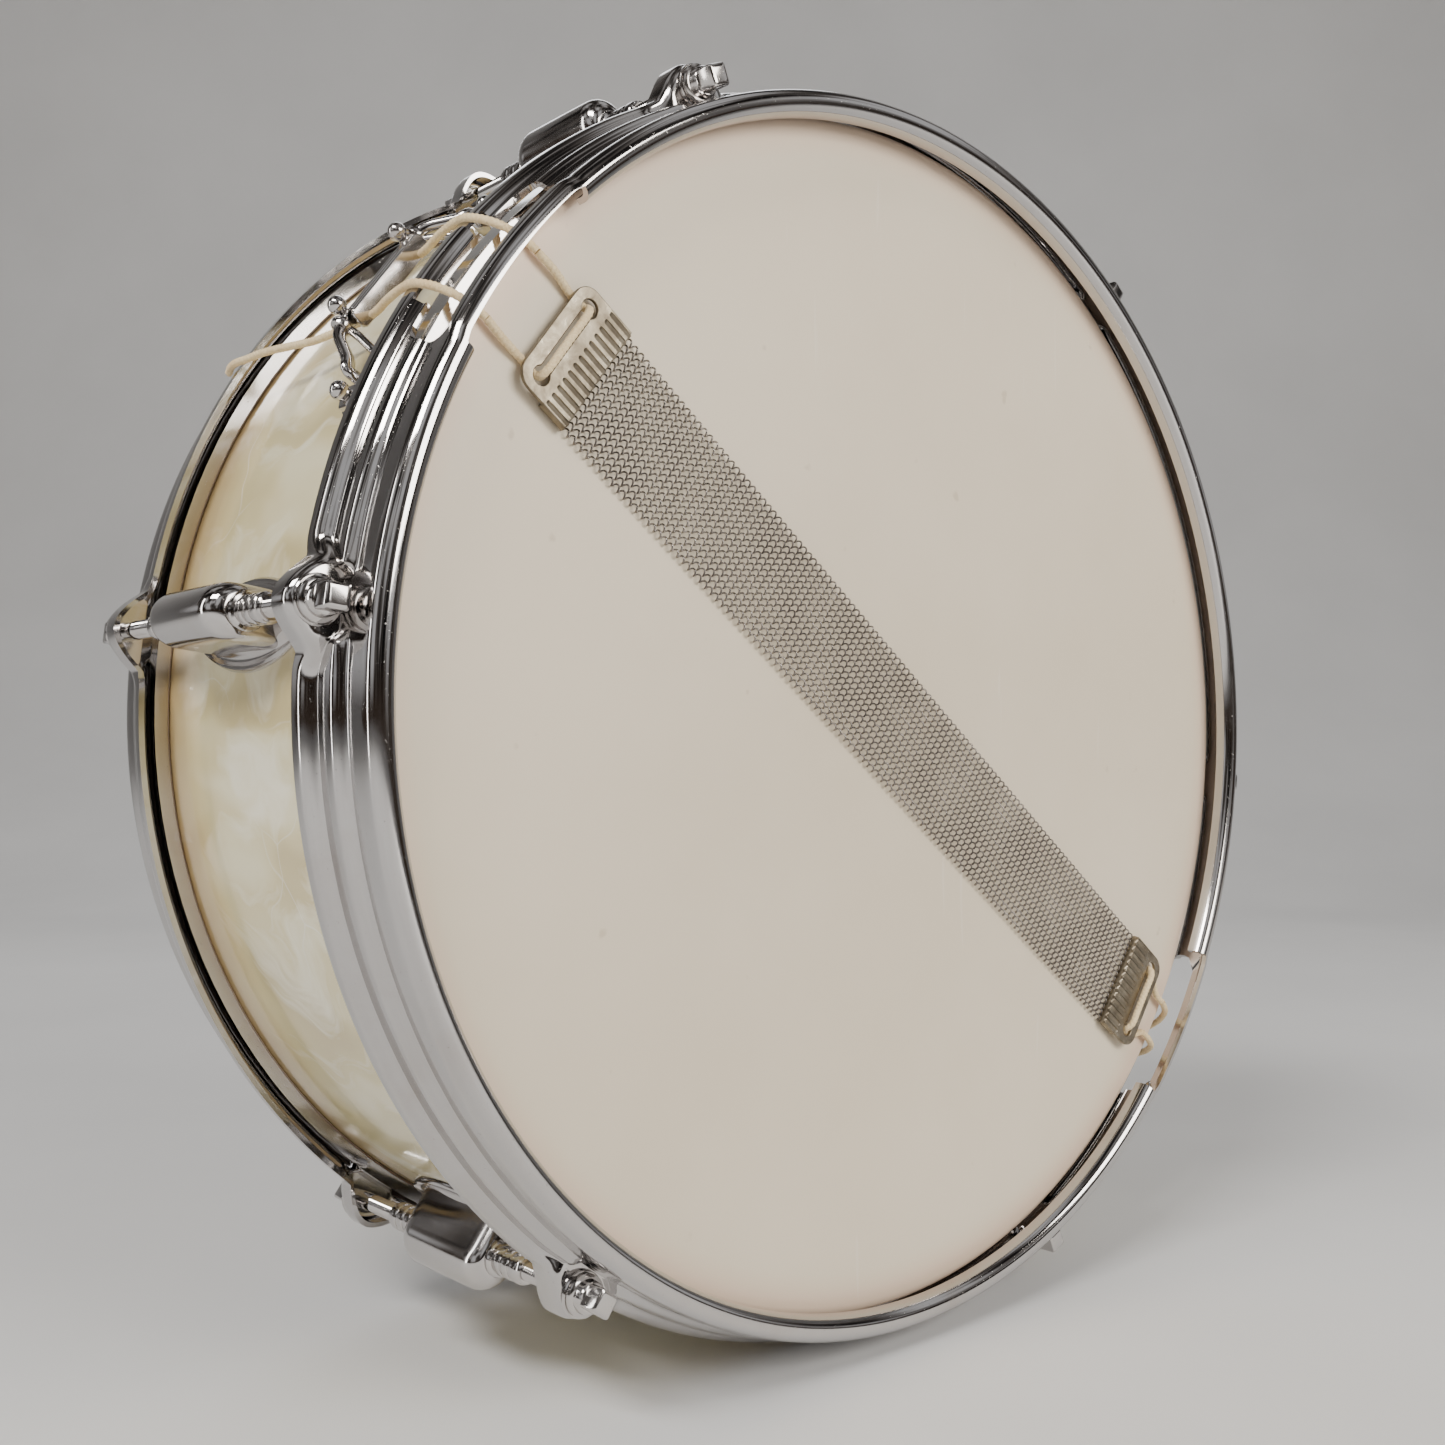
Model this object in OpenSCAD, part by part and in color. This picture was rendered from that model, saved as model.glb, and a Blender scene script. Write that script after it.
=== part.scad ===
// Snare drum with a pearl covered wooden shell, triple flanged hoops and corded snare wires.
// The drum stands on its edge. Its axis runs along Y, the snare side faces -Y, the batter side
// faces +Y, and Z is up. The origin is on the ground under the middle of the drum.
// Lengths are in millimetres. "Depth" is measured from a hoop's rim towards the shell's middle.

/* [Shell] */
// Radius of the shell over its covering
cover_r = 177; // [176.8:0.1:177.1]
// Distance between the two bearing edges
shell_depth = 127; // [120:1:165]
// Thickness of the wooden shell
shell_wall = 6.4; // [5:0.1:8]
// Thickness of the pearl covering
cover_wall = 0.55; // [0.4:0.05:0.7]
// Width of each reinforcement ring inside the shell
ring_width = 28; // [20:1:34]

/* [Hoops] */
// Height of a rim above its drum head
rim_height = 11; // [10:0.5:12]
// Radius of the rolled flange, which the drum stands on
flange_r = 187.5; // [187.2:0.1:188]
// Thickness of the hoop's steel sheet
sheet = 1.6; // [1.4:0.1:1.8]
// Length of the opening for the snare cords
gate_length = 57; // [52:1:60]

/* [Tension hardware] */
// Angle of the first lug, from +X towards +Z
first_lug = -6.8; // [-12:0.1:0]
// Radius of the circle through the tension rods
rod_circle_r = 188; // [187.8:0.1:188.2]
// Radius of a tension rod
rod_r = 2.7; // [2.5:0.1:2.9]
// Length of a lug casing along the drum
lug_length = 41; // [36:1:44]
// Side of the square that the drum key turns
key_square = 6.3; // [6:0.1:6.4]

/* [Snares] */
// Number of coiled wires
wire_count = 16; // [8:2:16]
// Distance between neighbouring wires
wire_pitch = 2.2; // [2.15:0.05:2.25]
// Outer radius of a coiled wire
wire_r = 1; // [0.8:0.05:1.1]
// Distance from the middle to the inner edge of the plate at the strainer
front_plate = 140.5; // [138:0.5:141]
// Distance from the middle to the inner edge of the plate at the butt end
back_plate = 145; // [143:0.5:145]
// Length of an end plate along the wires
plate_length = 19; // [18:0.5:19]
// Radius of the snare cord
cord_r = 1.1; // [0.9:0.1:1.2]

/* [Hidden] */
$fn = 96;

half_shell = shell_depth / 2;
rim_y = half_shell + rim_height;
wood_r = cover_r - cover_wall;
wood_in = wood_r - shell_wall;
ring_in = wood_in - 6;
strainer_angle = first_lug + 150;
back_gate_angle = strainer_angle + 179.1;
butt_angle = strainer_angle + 177.2;
lug_count = 6;

// Colours
chrome = [0.72, 0.72, 0.74];
nickel = [0.62, 0.58, 0.48];
pearl = [0.86, 0.82, 0.66];
maple = [0.78, 0.60, 0.38];
film = [0.86, 0.82, 0.76];
cotton = [0.86, 0.72, 0.52];

// ---- Placing ----

// Revolved parts: their z runs along the drum, towards the batter side.
module drum_axis() {
    translate([0, 0, flange_r]) rotate([-90, 0, 0]) children();
}

// A place on the drum's edge: x radial, y along the drum, z along the edge.
module station(angle) {
    translate([0, 0, flange_r]) rotate([0, -angle, 0]) children();
}

// Parts drawn on the batter side are mirrored to the snare side.
module on_side(side) {
    if (side > 0) children();
    else mirror([0, 1, 0]) children();
}

function lug_angle(i) = first_lug + (i - 1) * 360 / lug_count;

// ---- Small shapes ----

module rod_x(r, x1, x2) {
    translate([x1, 0, 0]) rotate([0, 90, 0]) cylinder(r = r, h = x2 - x1);
}

module rod_y(r, y1, y2) {
    translate([0, y1, 0]) rotate([-90, 0, 0]) cylinder(r = r, h = y2 - y1);
}

module rod_z(r, z1, z2) {
    translate([0, 0, z1]) cylinder(r = r, h = z2 - z1);
}

module tube_ring(r_in, r_out, y1, y2) {
    translate([0, 0, y1]) difference() {
        cylinder(r = r_out, h = y2 - y1, $fn = 180);
        translate([0, 0, -1]) cylinder(r = r_in, h = y2 - y1 + 2, $fn = 180);
    }
}

// A plate bent to the shell: z is half its length along the edge.
module shell_pad(r_in, r_out, y1, y2, z1, z2) {
    intersection() {
        rotate([-90, 0, 0]) tube_ring(r_in, r_out, y1, y2);
        translate([cover_r - 40, y1 - 1, z1]) cube([60, y2 - y1 + 2, z2 - z1]);
    }
}

// A slot through a wall, seen along the radius: rounded corners of radius r.
module radial_slot(x1, x2, y1, y2, half, r) {
    translate([x1, y1 + r, -half]) cube([x2 - x1, y2 - y1 - 2 * r, 2 * half]);
    translate([x1, y1, -half + r]) cube([x2 - x1, y2 - y1, 2 * half - 2 * r]);
    for (y = [y1 + r, y2 - r], z = [-half + r, half - r])
        translate([0, y, z]) rod_x(r, x1, x2);
}

// An outline around a line of points: a sheet of the given thickness.
function unit(v) = v / norm(v);
function sheet_normal(p, i) =
    let (a = p[max(i - 1, 0)], b = p[min(i + 1, len(p) - 1)], t = unit(b - a)) [-t[1], t[0]];
function sheet_outline(p, t) = concat(
    [for (i = [0:len(p) - 1]) p[i] + sheet_normal(p, i) * t / 2],
    [for (i = [len(p) - 1:-1:0]) p[i] - sheet_normal(p, i) * t / 2]);
function arc_points(c, r, a1, a2, steps) =
    [for (k = [0:steps]) c + r * [cos(a1 + (a2 - a1) * k / steps), sin(a1 + (a2 - a1) * k / steps)]];

// A cord: one closed tube with 8 sides along a list of points.
cord_sides = 8;
function tangent(p, i) = unit(p[min(i + 1, len(p) - 1)] - p[max(i - 1, 0)]);
function side_way(t) = abs(t[1]) < 0.8 ? unit(cross(t, [0, 1, 0])) : unit(cross(t, [1, 0, 0]));
function carried(w, t) = unit(w - (w * t) * t);
function frames(p, i = 0, w = undef) =
    i >= len(p) ? [] :
    let (t = tangent(p, i), u = is_undef(w) ? side_way(t) : carried(w, t))
    concat([[t, u, cross(t, u)]], frames(p, i + 1, u));
function smooth(p, n) = [for (i = [0:len(p) - 2], k = [0:n - 1])
    let (a = p[max(i - 1, 0)], b = p[i], c = p[i + 1], d = p[min(i + 2, len(p) - 1)], s = k / n)
    0.5 * (2 * b + (c - a) * s + (2 * a - 5 * b + 4 * c - d) * s * s
        + (3 * b - 3 * c + d - a) * s * s * s)];
module cord(route, r, n = 2) {
    p = concat(smooth(route, n), [route[len(route) - 1]]);
    f = frames(p);
    rings = len(p);
    points = [for (i = [0:rings - 1], k = [0:cord_sides - 1])
        p[i] + r * (f[i][1] * cos(360 * k / cord_sides) + f[i][2] * sin(360 * k / cord_sides))];
    sides = [for (i = [0:rings - 2], k = [0:cord_sides - 1])
        let (a = i * cord_sides + k, b = i * cord_sides + (k + 1) % cord_sides)
        [a, b, b + cord_sides, a + cord_sides]];
    first = [for (k = [cord_sides - 1:-1:0]) k];
    last = [for (k = [0:cord_sides - 1]) (rings - 1) * cord_sides + k];
    polyhedron(points = points, faces = concat([first], sides, [last]), convexity = 8);
}

// ---- Shell ----

lug_screw_y = 9;
foot_turn = 11.3;
foot_y = -27;
butt_screw_y = [-23.5, -33];
vent_angle = first_lug + 30;

module shell_holes() {
    for (i = [1:lug_count], y = [-lug_screw_y, lug_screw_y])
        station(lug_angle(i)) translate([0, y, 0]) rod_x(2.2, 160, 180);
    for (turn = [-foot_turn, foot_turn])
        station(strainer_angle + turn) translate([0, foot_y, 0]) rod_x(1.7, 160, 180);
    for (y = butt_screw_y)
        station(butt_angle) translate([0, y, 0]) rod_x(1.7, 160, 180);
    station(vent_angle) rod_x(6.1, 160, 180);
}

module shell() color(maple) difference() {
    drum_axis() rotate_extrude($fn = 180) polygon([
        [wood_in, -half_shell + 4], [174, -half_shell], [wood_r, -half_shell + 2.6],
        [wood_r, half_shell - 2.6], [174, half_shell], [wood_in, half_shell - 4]]);
    shell_holes();
}

module pearl_cover() color(pearl) difference() {
    drum_axis() tube_ring(wood_r + 0.02, cover_r, -half_shell + 5, half_shell - 5);
    shell_holes();
}

module reinforcement_ring(side) color(maple) on_side(side) drum_axis()
    tube_ring(ring_in, wood_in - 0.02, half_shell - 4 - ring_width, half_shell - 4);

module vent_grommet() color(nickel) station(vent_angle) difference() {
    union() {
        rod_x(6, wood_in - 2, cover_r + 1.6);
        rod_x(9, cover_r + 0.3, cover_r + 1.6);
        rod_x(9, wood_in - 2, wood_in - 0.8);
    }
    rod_x(4.8, wood_in - 3, cover_r + 3);
}

// ---- Heads ----

film_t = 0.4;
collar_r = 177.4;
flesh_in = collar_r + film_t + 0.05;
flesh_out = 181.6;
flesh_top = half_shell - 4.2;
flesh_low = half_shell - 13;

module drum_head(side) color(film) on_side(side) drum_axis() rotate_extrude($fn = 180) polygon([
    [0, half_shell], [174.5, half_shell], [collar_r, half_shell - 3], [collar_r, flesh_low + 1],
    [collar_r + film_t, flesh_low + 1], [collar_r + film_t, half_shell - 2.7],
    [174.7, half_shell + film_t], [0, half_shell + film_t]]);

module flesh_hoop(side) color(chrome) on_side(side) drum_axis()
    tube_ring(flesh_in, flesh_out, flesh_low, flesh_top);

// ---- Hoops, drawn on the batter side: y is rim_y less the depth ----

wall_r = 180.8;
skirt_r = 183.4;
lip_r = 175.2;
shoulder_depth = 12.4;
flange_depth = 27.8;
ear_top = 17;
ear_low = 25.5;
ear_base = 184.4;
ear_reach = 195;
ear_half = 18;
gate_top = 5.6;
gate_low = 20;
cord_z = 12.8;
notch_half = 3.4;

// The rim is rolled over in nine flats, so that its top is a narrow land.
crown_r = (wall_r - lip_r) / 2;
crown_depth = (crown_r + sheet / 2) * cos(10);
hoop_line = concat(
    [[lip_r, -5.8]],
    arc_points([(lip_r + wall_r) / 2, -crown_depth], crown_r, 180, 0, 9),
    [[wall_r, -shoulder_depth], [skirt_r, -shoulder_depth - 1.6], [skirt_r, -20.5]],
    [[184, -21.8], [185.3, -22.9], [186.2, -24.2]],
    [[flange_r - sheet / 2, -26], [flange_r - sheet / 2, -flange_depth]]);

// The ear's edge bulges out from the flange in an S curve.
function ear_edge(z) = ear_base + (ear_reach - ear_base) * (1 + cos(180 * z / ear_half)) / 2;
function ear_outline(inner, inset, half) = concat(
    [for (k = [-10:10]) let (z = half * k / 10, r = ear_edge(z) - inset, a = z / flange_r * 180 / PI)
        [r * cos(a), r * sin(a)]],
    [for (k = [10:-1:-10]) let (z = half * k / 10, a = z / flange_r * 180 / PI)
        [inner * cos(a), inner * sin(a)]]);

module ear_slab(inner, inset, half, d1, d2) {
    translate([0, rim_y - d2, 0]) rotate([-90, 0, 0])
        linear_extrude(height = d2 - d1) polygon(ear_outline(inner, inset, half));
}

module ear() difference() {
    ear_slab(skirt_r + 0.2, 0, ear_half, ear_top, ear_low);
    ear_slab(skirt_r + sheet, sheet, ear_half * 0.62, ear_top + 2.2, ear_low + 1);
}

module gate_cut(angle) station(angle) {
    radial_slot(178, 188, rim_y - gate_low, rim_y - gate_top, gate_length / 2, 5);
    translate([174, rim_y - 8, -gate_length / 2]) cube([3.6, 9, gate_length]);
    for (z = [-cord_z, cord_z])
        translate([185.2, rim_y - flange_depth - 1, z - notch_half]) cube([8, 10, 2 * notch_half]);
}

module hoop(side, gated) color(chrome) on_side(side) difference() {
    union() {
        translate([0, rim_y, 0]) drum_axis() rotate_extrude($fn = 180)
            polygon(sheet_outline(hoop_line, sheet));
        for (i = [1:lug_count]) station(lug_angle(i)) ear();
    }
    for (i = [1:lug_count]) station(lug_angle(i)) translate([rod_circle_r, 0, 0]) {
        rod_y(3.2, rim_y - flange_depth - 1, rim_y - 12);
        rod_y(6.3, rim_y - ear_top, rim_y - 9);
    }
    if (gated) {
        gate_cut(strainer_angle);
        gate_cut(back_gate_angle);
    }
}

// ---- Lugs ----

lug_half_width = 7.5;
lug_crest = 198;
nut_bore_r = 5.3;
leaf_half = 36.5;
leaf_half_width = 12.5;
leaf_r = (leaf_half * leaf_half + leaf_half_width * leaf_half_width) / (2 * leaf_half_width);
lug_seat = cover_r + 0.1;

module lug_barrel() {
    top = lug_crest - lug_half_width;
    end = lug_length / 2 - lug_half_width;
    translate([top, 0, 0]) rod_y(lug_half_width, -end, end);
    translate([lug_seat + 1, -end, -lug_half_width]) cube([top - lug_seat - 1, 2 * end, 2 * lug_half_width]);
    for (y = [-end, end]) translate([0, y, 0]) {
        translate([top, 0, 0]) sphere(r = lug_half_width);
        rod_x(lug_half_width, lug_seat + 1, top);
    }
}

module lug_leaf() intersection() {
    rotate([-90, 0, 0]) tube_ring(lug_seat, lug_seat + 4.2, -leaf_half - 1, leaf_half + 1);
    translate([0, 0, leaf_r - leaf_half_width]) rod_x(leaf_r, 170, 190);
    translate([0, 0, leaf_half_width - leaf_r]) rod_x(leaf_r, 170, 190);
}

module lug(i) color(chrome) station(lug_angle(i)) difference() {
    union() {
        lug_barrel();
        lug_leaf();
    }
    translate([rod_circle_r, 0, 0]) rod_y(nut_bore_r, -lug_length, lug_length);
    for (y = [-lug_screw_y, lug_screw_y]) translate([0, y, 0]) rod_x(2, 170, 184);
}

module swivel_nut() translate([rod_circle_r, 0, 0]) difference() {
    union() {
        rod_y(nut_bore_r - 0.1, 10, 20.5);
        rod_y(4.8, 20.5, 22);
        rod_y(3.6, 22, 34.6);
        for (y = [22.6, 26.4, 30.2]) rod_y(4.1, y, y + 2.8);
    }
    rod_y(rod_r + 0.05, 9, 36);
}

module swivel_nuts() color(chrome)
    for (i = [1:lug_count], side = [-1, 1]) on_side(side) station(lug_angle(i)) swivel_nut();

module lug_screws() color(chrome)
    for (i = [1:lug_count], y = [-lug_screw_y, lug_screw_y])
        station(lug_angle(i)) translate([0, y, 0]) {
            rod_x(1.95, wood_in - 2, 182);
            rod_x(4.4, wood_in - 4.6, wood_in - 1.6);
        }

module lug_screw_washers() color(chrome)
    for (i = [1:lug_count], y = [-lug_screw_y, lug_screw_y])
        station(lug_angle(i)) translate([0, y, 0]) difference() {
            rod_x(6, wood_in - 1.6, wood_in - 0.4);
            rod_x(2.1, wood_in - 3, wood_in + 1);
        }

// ---- Tension rods ----

washer_t = 1.2;
washer_r = 6.1;
head_depth = ear_top - washer_t - 0.05;

module rod(side, i) color(chrome) on_side(side) station(lug_angle(i)) translate([rod_circle_r, 0, 0]) {
    rod_y(rod_r, 12, rim_y - head_depth + 0.5);
    rod_y(5.6, rim_y - head_depth, rim_y - head_depth + 1.5);
    rod_y(4.3, rim_y - head_depth + 1.5, rim_y - head_depth + 4.3);
    translate([-key_square / 2, rim_y - head_depth + 4.3, -key_square / 2])
        cube([key_square, 5.4, key_square]);
}

module rod_washers(side) color(chrome) on_side(side)
    for (i = [1:lug_count]) station(lug_angle(i)) translate([rod_circle_r, 0, 0]) difference() {
        rod_y(washer_r, rim_y - ear_top, rim_y - ear_top + washer_t);
        rod_y(3.1, rim_y - ear_top - 1, rim_y - ear_top + 2);
    }

// ---- Strainer: two S shaped arms stand on the shell and hold a crossbar, which turns ----

bar_x = 187;
bar_y = -18.5;
bar_r = 1.9;
bar_half = 16.4;
clamp_y = -22.6;
ball_z = 14.4;
foot_seat = cover_r + 0.1;
foot_x = foot_seat * cos(foot_turn);
foot_z = foot_seat * sin(foot_turn);

module both_ends() {
    children();
    mirror([0, 0, 1]) children();
}

arm_line = [[bar_x, bar_y, bar_half + 1.4], [185.6, -21, bar_half + 5], [182, -25.5, bar_half + 10.5],
    [foot_x + 1.5, foot_y - 1, foot_z - 4]];
leg_line = [[bar_x - 2, bar_y - 2.6, bar_half + 1.6], [179.6, -31.5, 23]];

module strainer_bracket() color(chrome) station(strainer_angle) both_ends() difference() {
    union() {
        for (k = [0:2]) hull() {
            translate(arm_line[k]) sphere(r = 1.3, $fn = 14);
            translate(arm_line[k + 1]) sphere(r = 1.3, $fn = 14);
        }
        hull() {
            translate(leg_line[0]) sphere(r = 1.1, $fn = 14);
            translate(leg_line[1]) sphere(r = 1.1, $fn = 14);
        }
        translate([bar_x, bar_y, 0]) rod_z(3.1, bar_half + 0.3, bar_half + 2.4);
        rotate([0, -foot_turn, 0]) translate([0, foot_y, 0]) rod_x(5, foot_seat, foot_seat + 2);
    }
    translate([bar_x, bar_y, 0]) rod_z(bar_r - 0.35, 10, 30);
    rotate([0, -foot_turn, 0]) translate([0, foot_y, 0]) rod_x(1.7, 170, 185);
    translate([0, -60, 0]) rod_y(cover_r + 0.1, 0, 60);
}

module strainer_foot_screws() color(chrome)
    for (turn = [-foot_turn, foot_turn])
        station(strainer_angle + turn) translate([0, foot_y, 0]) {
            rod_x(1.6, 171, foot_seat + 5);
            translate([foot_seat + 6.2, 0, 0]) sphere(r = 2.4);
        }

module strainer_foot_nuts() color(chrome)
    for (turn = [-foot_turn, foot_turn])
        station(strainer_angle + turn) translate([0, foot_y, 0]) difference() {
            translate([foot_seat + 2.05, 0, 0]) rotate([0, 90, 0]) cylinder(r = 4, h = 2, $fn = 6);
            rod_x(1.65, 170, 190);
        }

module strainer_crossbar() color(chrome) station(strainer_angle) difference() {
    translate([bar_x, bar_y, 0]) {
        rod_z(bar_r, -bar_half, bar_half);
        rod_z(bar_r - 0.4, -bar_half - 3.2, bar_half + 3.2);
        for (z = [-ball_z, ball_z]) translate([0, 0, z]) rod_y(2.2, -2.6, 0);
    }
    for (z = [-ball_z, ball_z]) translate([0, bar_y, z]) rod_x(0.95, 180, 195);
}

module strainer_clamp() color(chrome) station(strainer_angle) difference() {
    translate([182.6, clamp_y - 1.2, -bar_half + 0.4]) cube([6.2, 1.4, 2 * bar_half - 0.8]);
    for (z = [-cord_z + 1, cord_z - 1])
        translate([184.2, 0, z]) rod_y(cord_r + 0.1, clamp_y - 3, clamp_y + 3);
}

module strainer_clamp_screws() color(chrome) station(strainer_angle)
    for (z = [-ball_z, ball_z]) translate([0, bar_y, z]) {
        rod_x(0.9, 184.6, 190);
        translate([191.3, 0, 0]) sphere(r = 2.3);
    }

// ---- Butt end ----

butt_cord_z = 4.4;

module butt_base() color(chrome) station(butt_angle) difference() {
    shell_pad(cover_r + 0.1, cover_r + 1.7, -41, -16, -14, 14);
    for (y = butt_screw_y) translate([0, y, 0]) rod_x(1.7, 170, 190);
}

module butt_clamp() color(chrome) station(butt_angle) difference() {
    union() {
        translate([181.2, -37, -11]) cube([1.4, 17.5, 22]);
        for (z = [-9, 9]) translate([cover_r + 1.75, -35, z - 1]) cube([3.5, 12, 2]);
    }
    for (y = butt_screw_y) translate([0, y, 0]) rod_x(1.7, 170, 190);
}

module butt_screws() color(chrome) station(butt_angle)
    for (y = butt_screw_y) translate([0, y, 0]) {
        rod_x(1.6, 171, 183);
        translate([182.65, 0, 0]) rotate([0, 90, 0]) cylinder(r1 = 3.4, r2 = 2.2, h = 1.8);
    }

// ---- Snares: their line passes a little beside the drum's axis ----

snare_turn = -0.44;
snare_shift = 3.45;
face_y = -half_shell - film_t;
wire_y = face_y - wire_r - 0.1;
plate_y = wire_y - 1.3;
plate_half = 17.5;
slot_in = 11.7;
slot_width = 3.2;
slot_half = 12.2;

module snare_line() {
    station(strainer_angle + snare_turn) translate([0, 0, snare_shift]) children();
}

module plate_outline(length, half, corner) {
    square_len = length - corner;
    translate([0, -half]) square([square_len, 2 * half]);
    translate([0, -half + corner]) square([length, 2 * half - 2 * corner]);
    for (z = [-half + corner, half - corner]) translate([square_len, z]) circle(r = corner);
}

module plate_slot() {
    translate([slot_in, -slot_half]) square([slot_width, 2 * slot_half]);
    for (z = [-slot_half, slot_half]) translate([slot_in + slot_width / 2, z]) circle(r = 2.5);
}

module snare_plate(inner) color(nickel) translate([inner, plate_y, 0]) {
    rotate([90, 0, 0]) linear_extrude(height = 1.1) difference() {
        plate_outline(plate_length, plate_half, 5);
        plate_slot();
    }
    translate([0, -1.6, -plate_half]) cube([8.6, 3, 2 * plate_half]);
}

module snare_wires() color(chrome) snare_line()
    for (k = [0:wire_count - 1])
        translate([0, wire_y, (k - (wire_count - 1) / 2) * wire_pitch])
            rod_x(wire_r, -back_plate + 0.02, front_plate - 0.02);

// ---- Cords: x radial, y along the drum, z along the edge ----

run_end = 173.3;
loop_start = 172.7;
run_y = -66;
slot_x = slot_in + slot_width / 2;

// The run's third value is how far it has drifted from the strainer's middle to the snare line's.
run_line = [[183.8, -14, 0], [183.8, -16.5, 0], [183.8, -19, 0], [184.2, -23, 0], [184.9, -28, 0],
    [186.2, -34, 0.2], [187.2, -40, 0.4], [187.8, -45.5, 0.5], [187.9, -49.5, 0.6],
    [186.7, -53.5, 0.8], [184.3, -57.9, 1], [181, -62, 1.4], [177, -64.9, 1.8],
    [run_end, run_y, 2.12]];
function run_route(side) = [for (i = [0:len(run_line) - 1])
    let (p = run_line[i], z = i < 5 ? cord_z - 1 : cord_z - 0.6) [p[0], p[1], side * z + p[2]]];

// A loop passes under the plate, comes up through one end of its slot and goes down through the other.
under_y = -65.08;
over_y = plate_y - 1.1 - cord_r - 0.08;
function loop_route(plate, half) = let (x = plate + slot_x) [[loop_start, run_y, half],
    [(loop_start + plate + plate_length) / 2, -65.8, half + 0.3], [plate + plate_length, under_y, 12],
    [x + 3.8, under_y, slot_half], [x + 1.2, -65.3, slot_half + 0.1], [x, -66.6, slot_half + 0.1],
    [x, -67.8, slot_half - 0.9], [x, over_y, slot_half - 2.9], [x, over_y, 5], [x, over_y, 2]];
function there_and_back(p) = concat(p, [for (i = [len(p) - 1:-1:0]) [p[i][0], p[i][1], -p[i][2]]]);

module front_cord() color(cotton) station(strainer_angle)
    for (side = [-1, 1]) cord(run_route(side), cord_r);

module front_loop() color(cotton) snare_line()
    cord(there_and_back(loop_route(front_plate, cord_z - 0.6)), cord_r);

back_half = 7.5;
back_drift = 3.67;
back_line = [[179.95, -22, 0], [180, -28, 0], [180, -34, 0], [180.05, -39, 0], [181.3, -41.6, 0],
    [184.6, -43.6, 0], [187.7, -45.1, 0], [188.9, -47.1, 0.1], [188.9, -49, 0.2], [187.9, -51.5, 0.3],
    [186.2, -54.2, 0.4], [184.4, -57.4, 0.5], [181.9, -61.4, 0.7], [178, -64.9, 0.9], [run_end, run_y, 1]];
function back_route(side) = [for (p = back_line)
    [p[0], p[1], side * (butt_cord_z + (back_half - butt_cord_z) * p[2]) + back_drift * p[2]]];

module back_cord() color(cotton) station(butt_angle)
    for (side = [-1, 1]) cord(back_route(side), cord_r);

module back_loop() color(cotton) snare_line() mirror([1, 0, 0])
    cord(there_and_back(loop_route(back_plate, back_half)), cord_r);

// The free end of the cord leaves the crossbar and lies over the batter hoop's flange.
tail_line = [[183.8, -13.5, cord_z - 1], [184, -8, cord_z - 0.6], [184.4, -2, cord_z],
    [185, 5, cord_z + 1], [185.8, 12, cord_z + 1], [186.6, 19, cord_z + 1],
    [187.4, 26, cord_z + 1], [188, 33, cord_z + 1], [188.6, 40, cord_z + 2],
    [188.9, 46, cord_z + 2], [188.4, 51, cord_z + 2], [187, 55, cord_z + 2]];

module cord_tail() color(cotton) station(strainer_angle) cord(tail_line, cord_r);

// ---- Drawing ----

shell();
pearl_cover();
reinforcement_ring(1);  // batter_ring
reinforcement_ring(-1);  // snare_ring
vent_grommet();
drum_head(1);  // batter_head
drum_head(-1);  // snare_head
flesh_hoop(1);  // batter_flesh_hoop
flesh_hoop(-1);  // snare_flesh_hoop
hoop(1, false);  // batter_hoop
hoop(-1, true);  // snare_hoop
lug(1);  // lug_1
lug(2);  // lug_2
lug(3);  // lug_3
lug(4);  // lug_4
lug(5);  // lug_5
lug(6);  // lug_6
swivel_nuts();
lug_screws();
lug_screw_washers();
rod(1, 1);  // rod_b1
rod(1, 2);  // rod_b2
rod(1, 3);  // rod_b3
rod(1, 4);  // rod_b4
rod(1, 5);  // rod_b5
rod(1, 6);  // rod_b6
rod(-1, 1);  // rod_s1
rod(-1, 2);  // rod_s2
rod(-1, 3);  // rod_s3
rod(-1, 4);  // rod_s4
rod(-1, 5);  // rod_s5
rod(-1, 6);  // rod_s6
rod_washers(1);  // batter_rod_washers
rod_washers(-1);  // snare_rod_washers
strainer_bracket();
strainer_foot_screws();
strainer_foot_nuts();
strainer_crossbar();
strainer_clamp();
strainer_clamp_screws();
butt_base();
butt_clamp();
butt_screws();
snare_line() snare_plate(front_plate);  // snare_plate_front
snare_line() mirror([1, 0, 0]) snare_plate(back_plate);  // snare_plate_back
snare_wires();
front_cord();
front_loop();
back_cord();
back_loop();
cord_tail();
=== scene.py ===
"""Looks of the snare drum: pressed hoops, twisted cords, coiled wires and aged finishes, in the CAD frame.

Local shapes are in millimetres, in a "station" of the drum's edge: x points outwards, y along the drum,
and z along the edge.
"""
import math

import bmesh
import bpy
import numpy as np
from mathutils import Matrix, Vector


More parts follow.
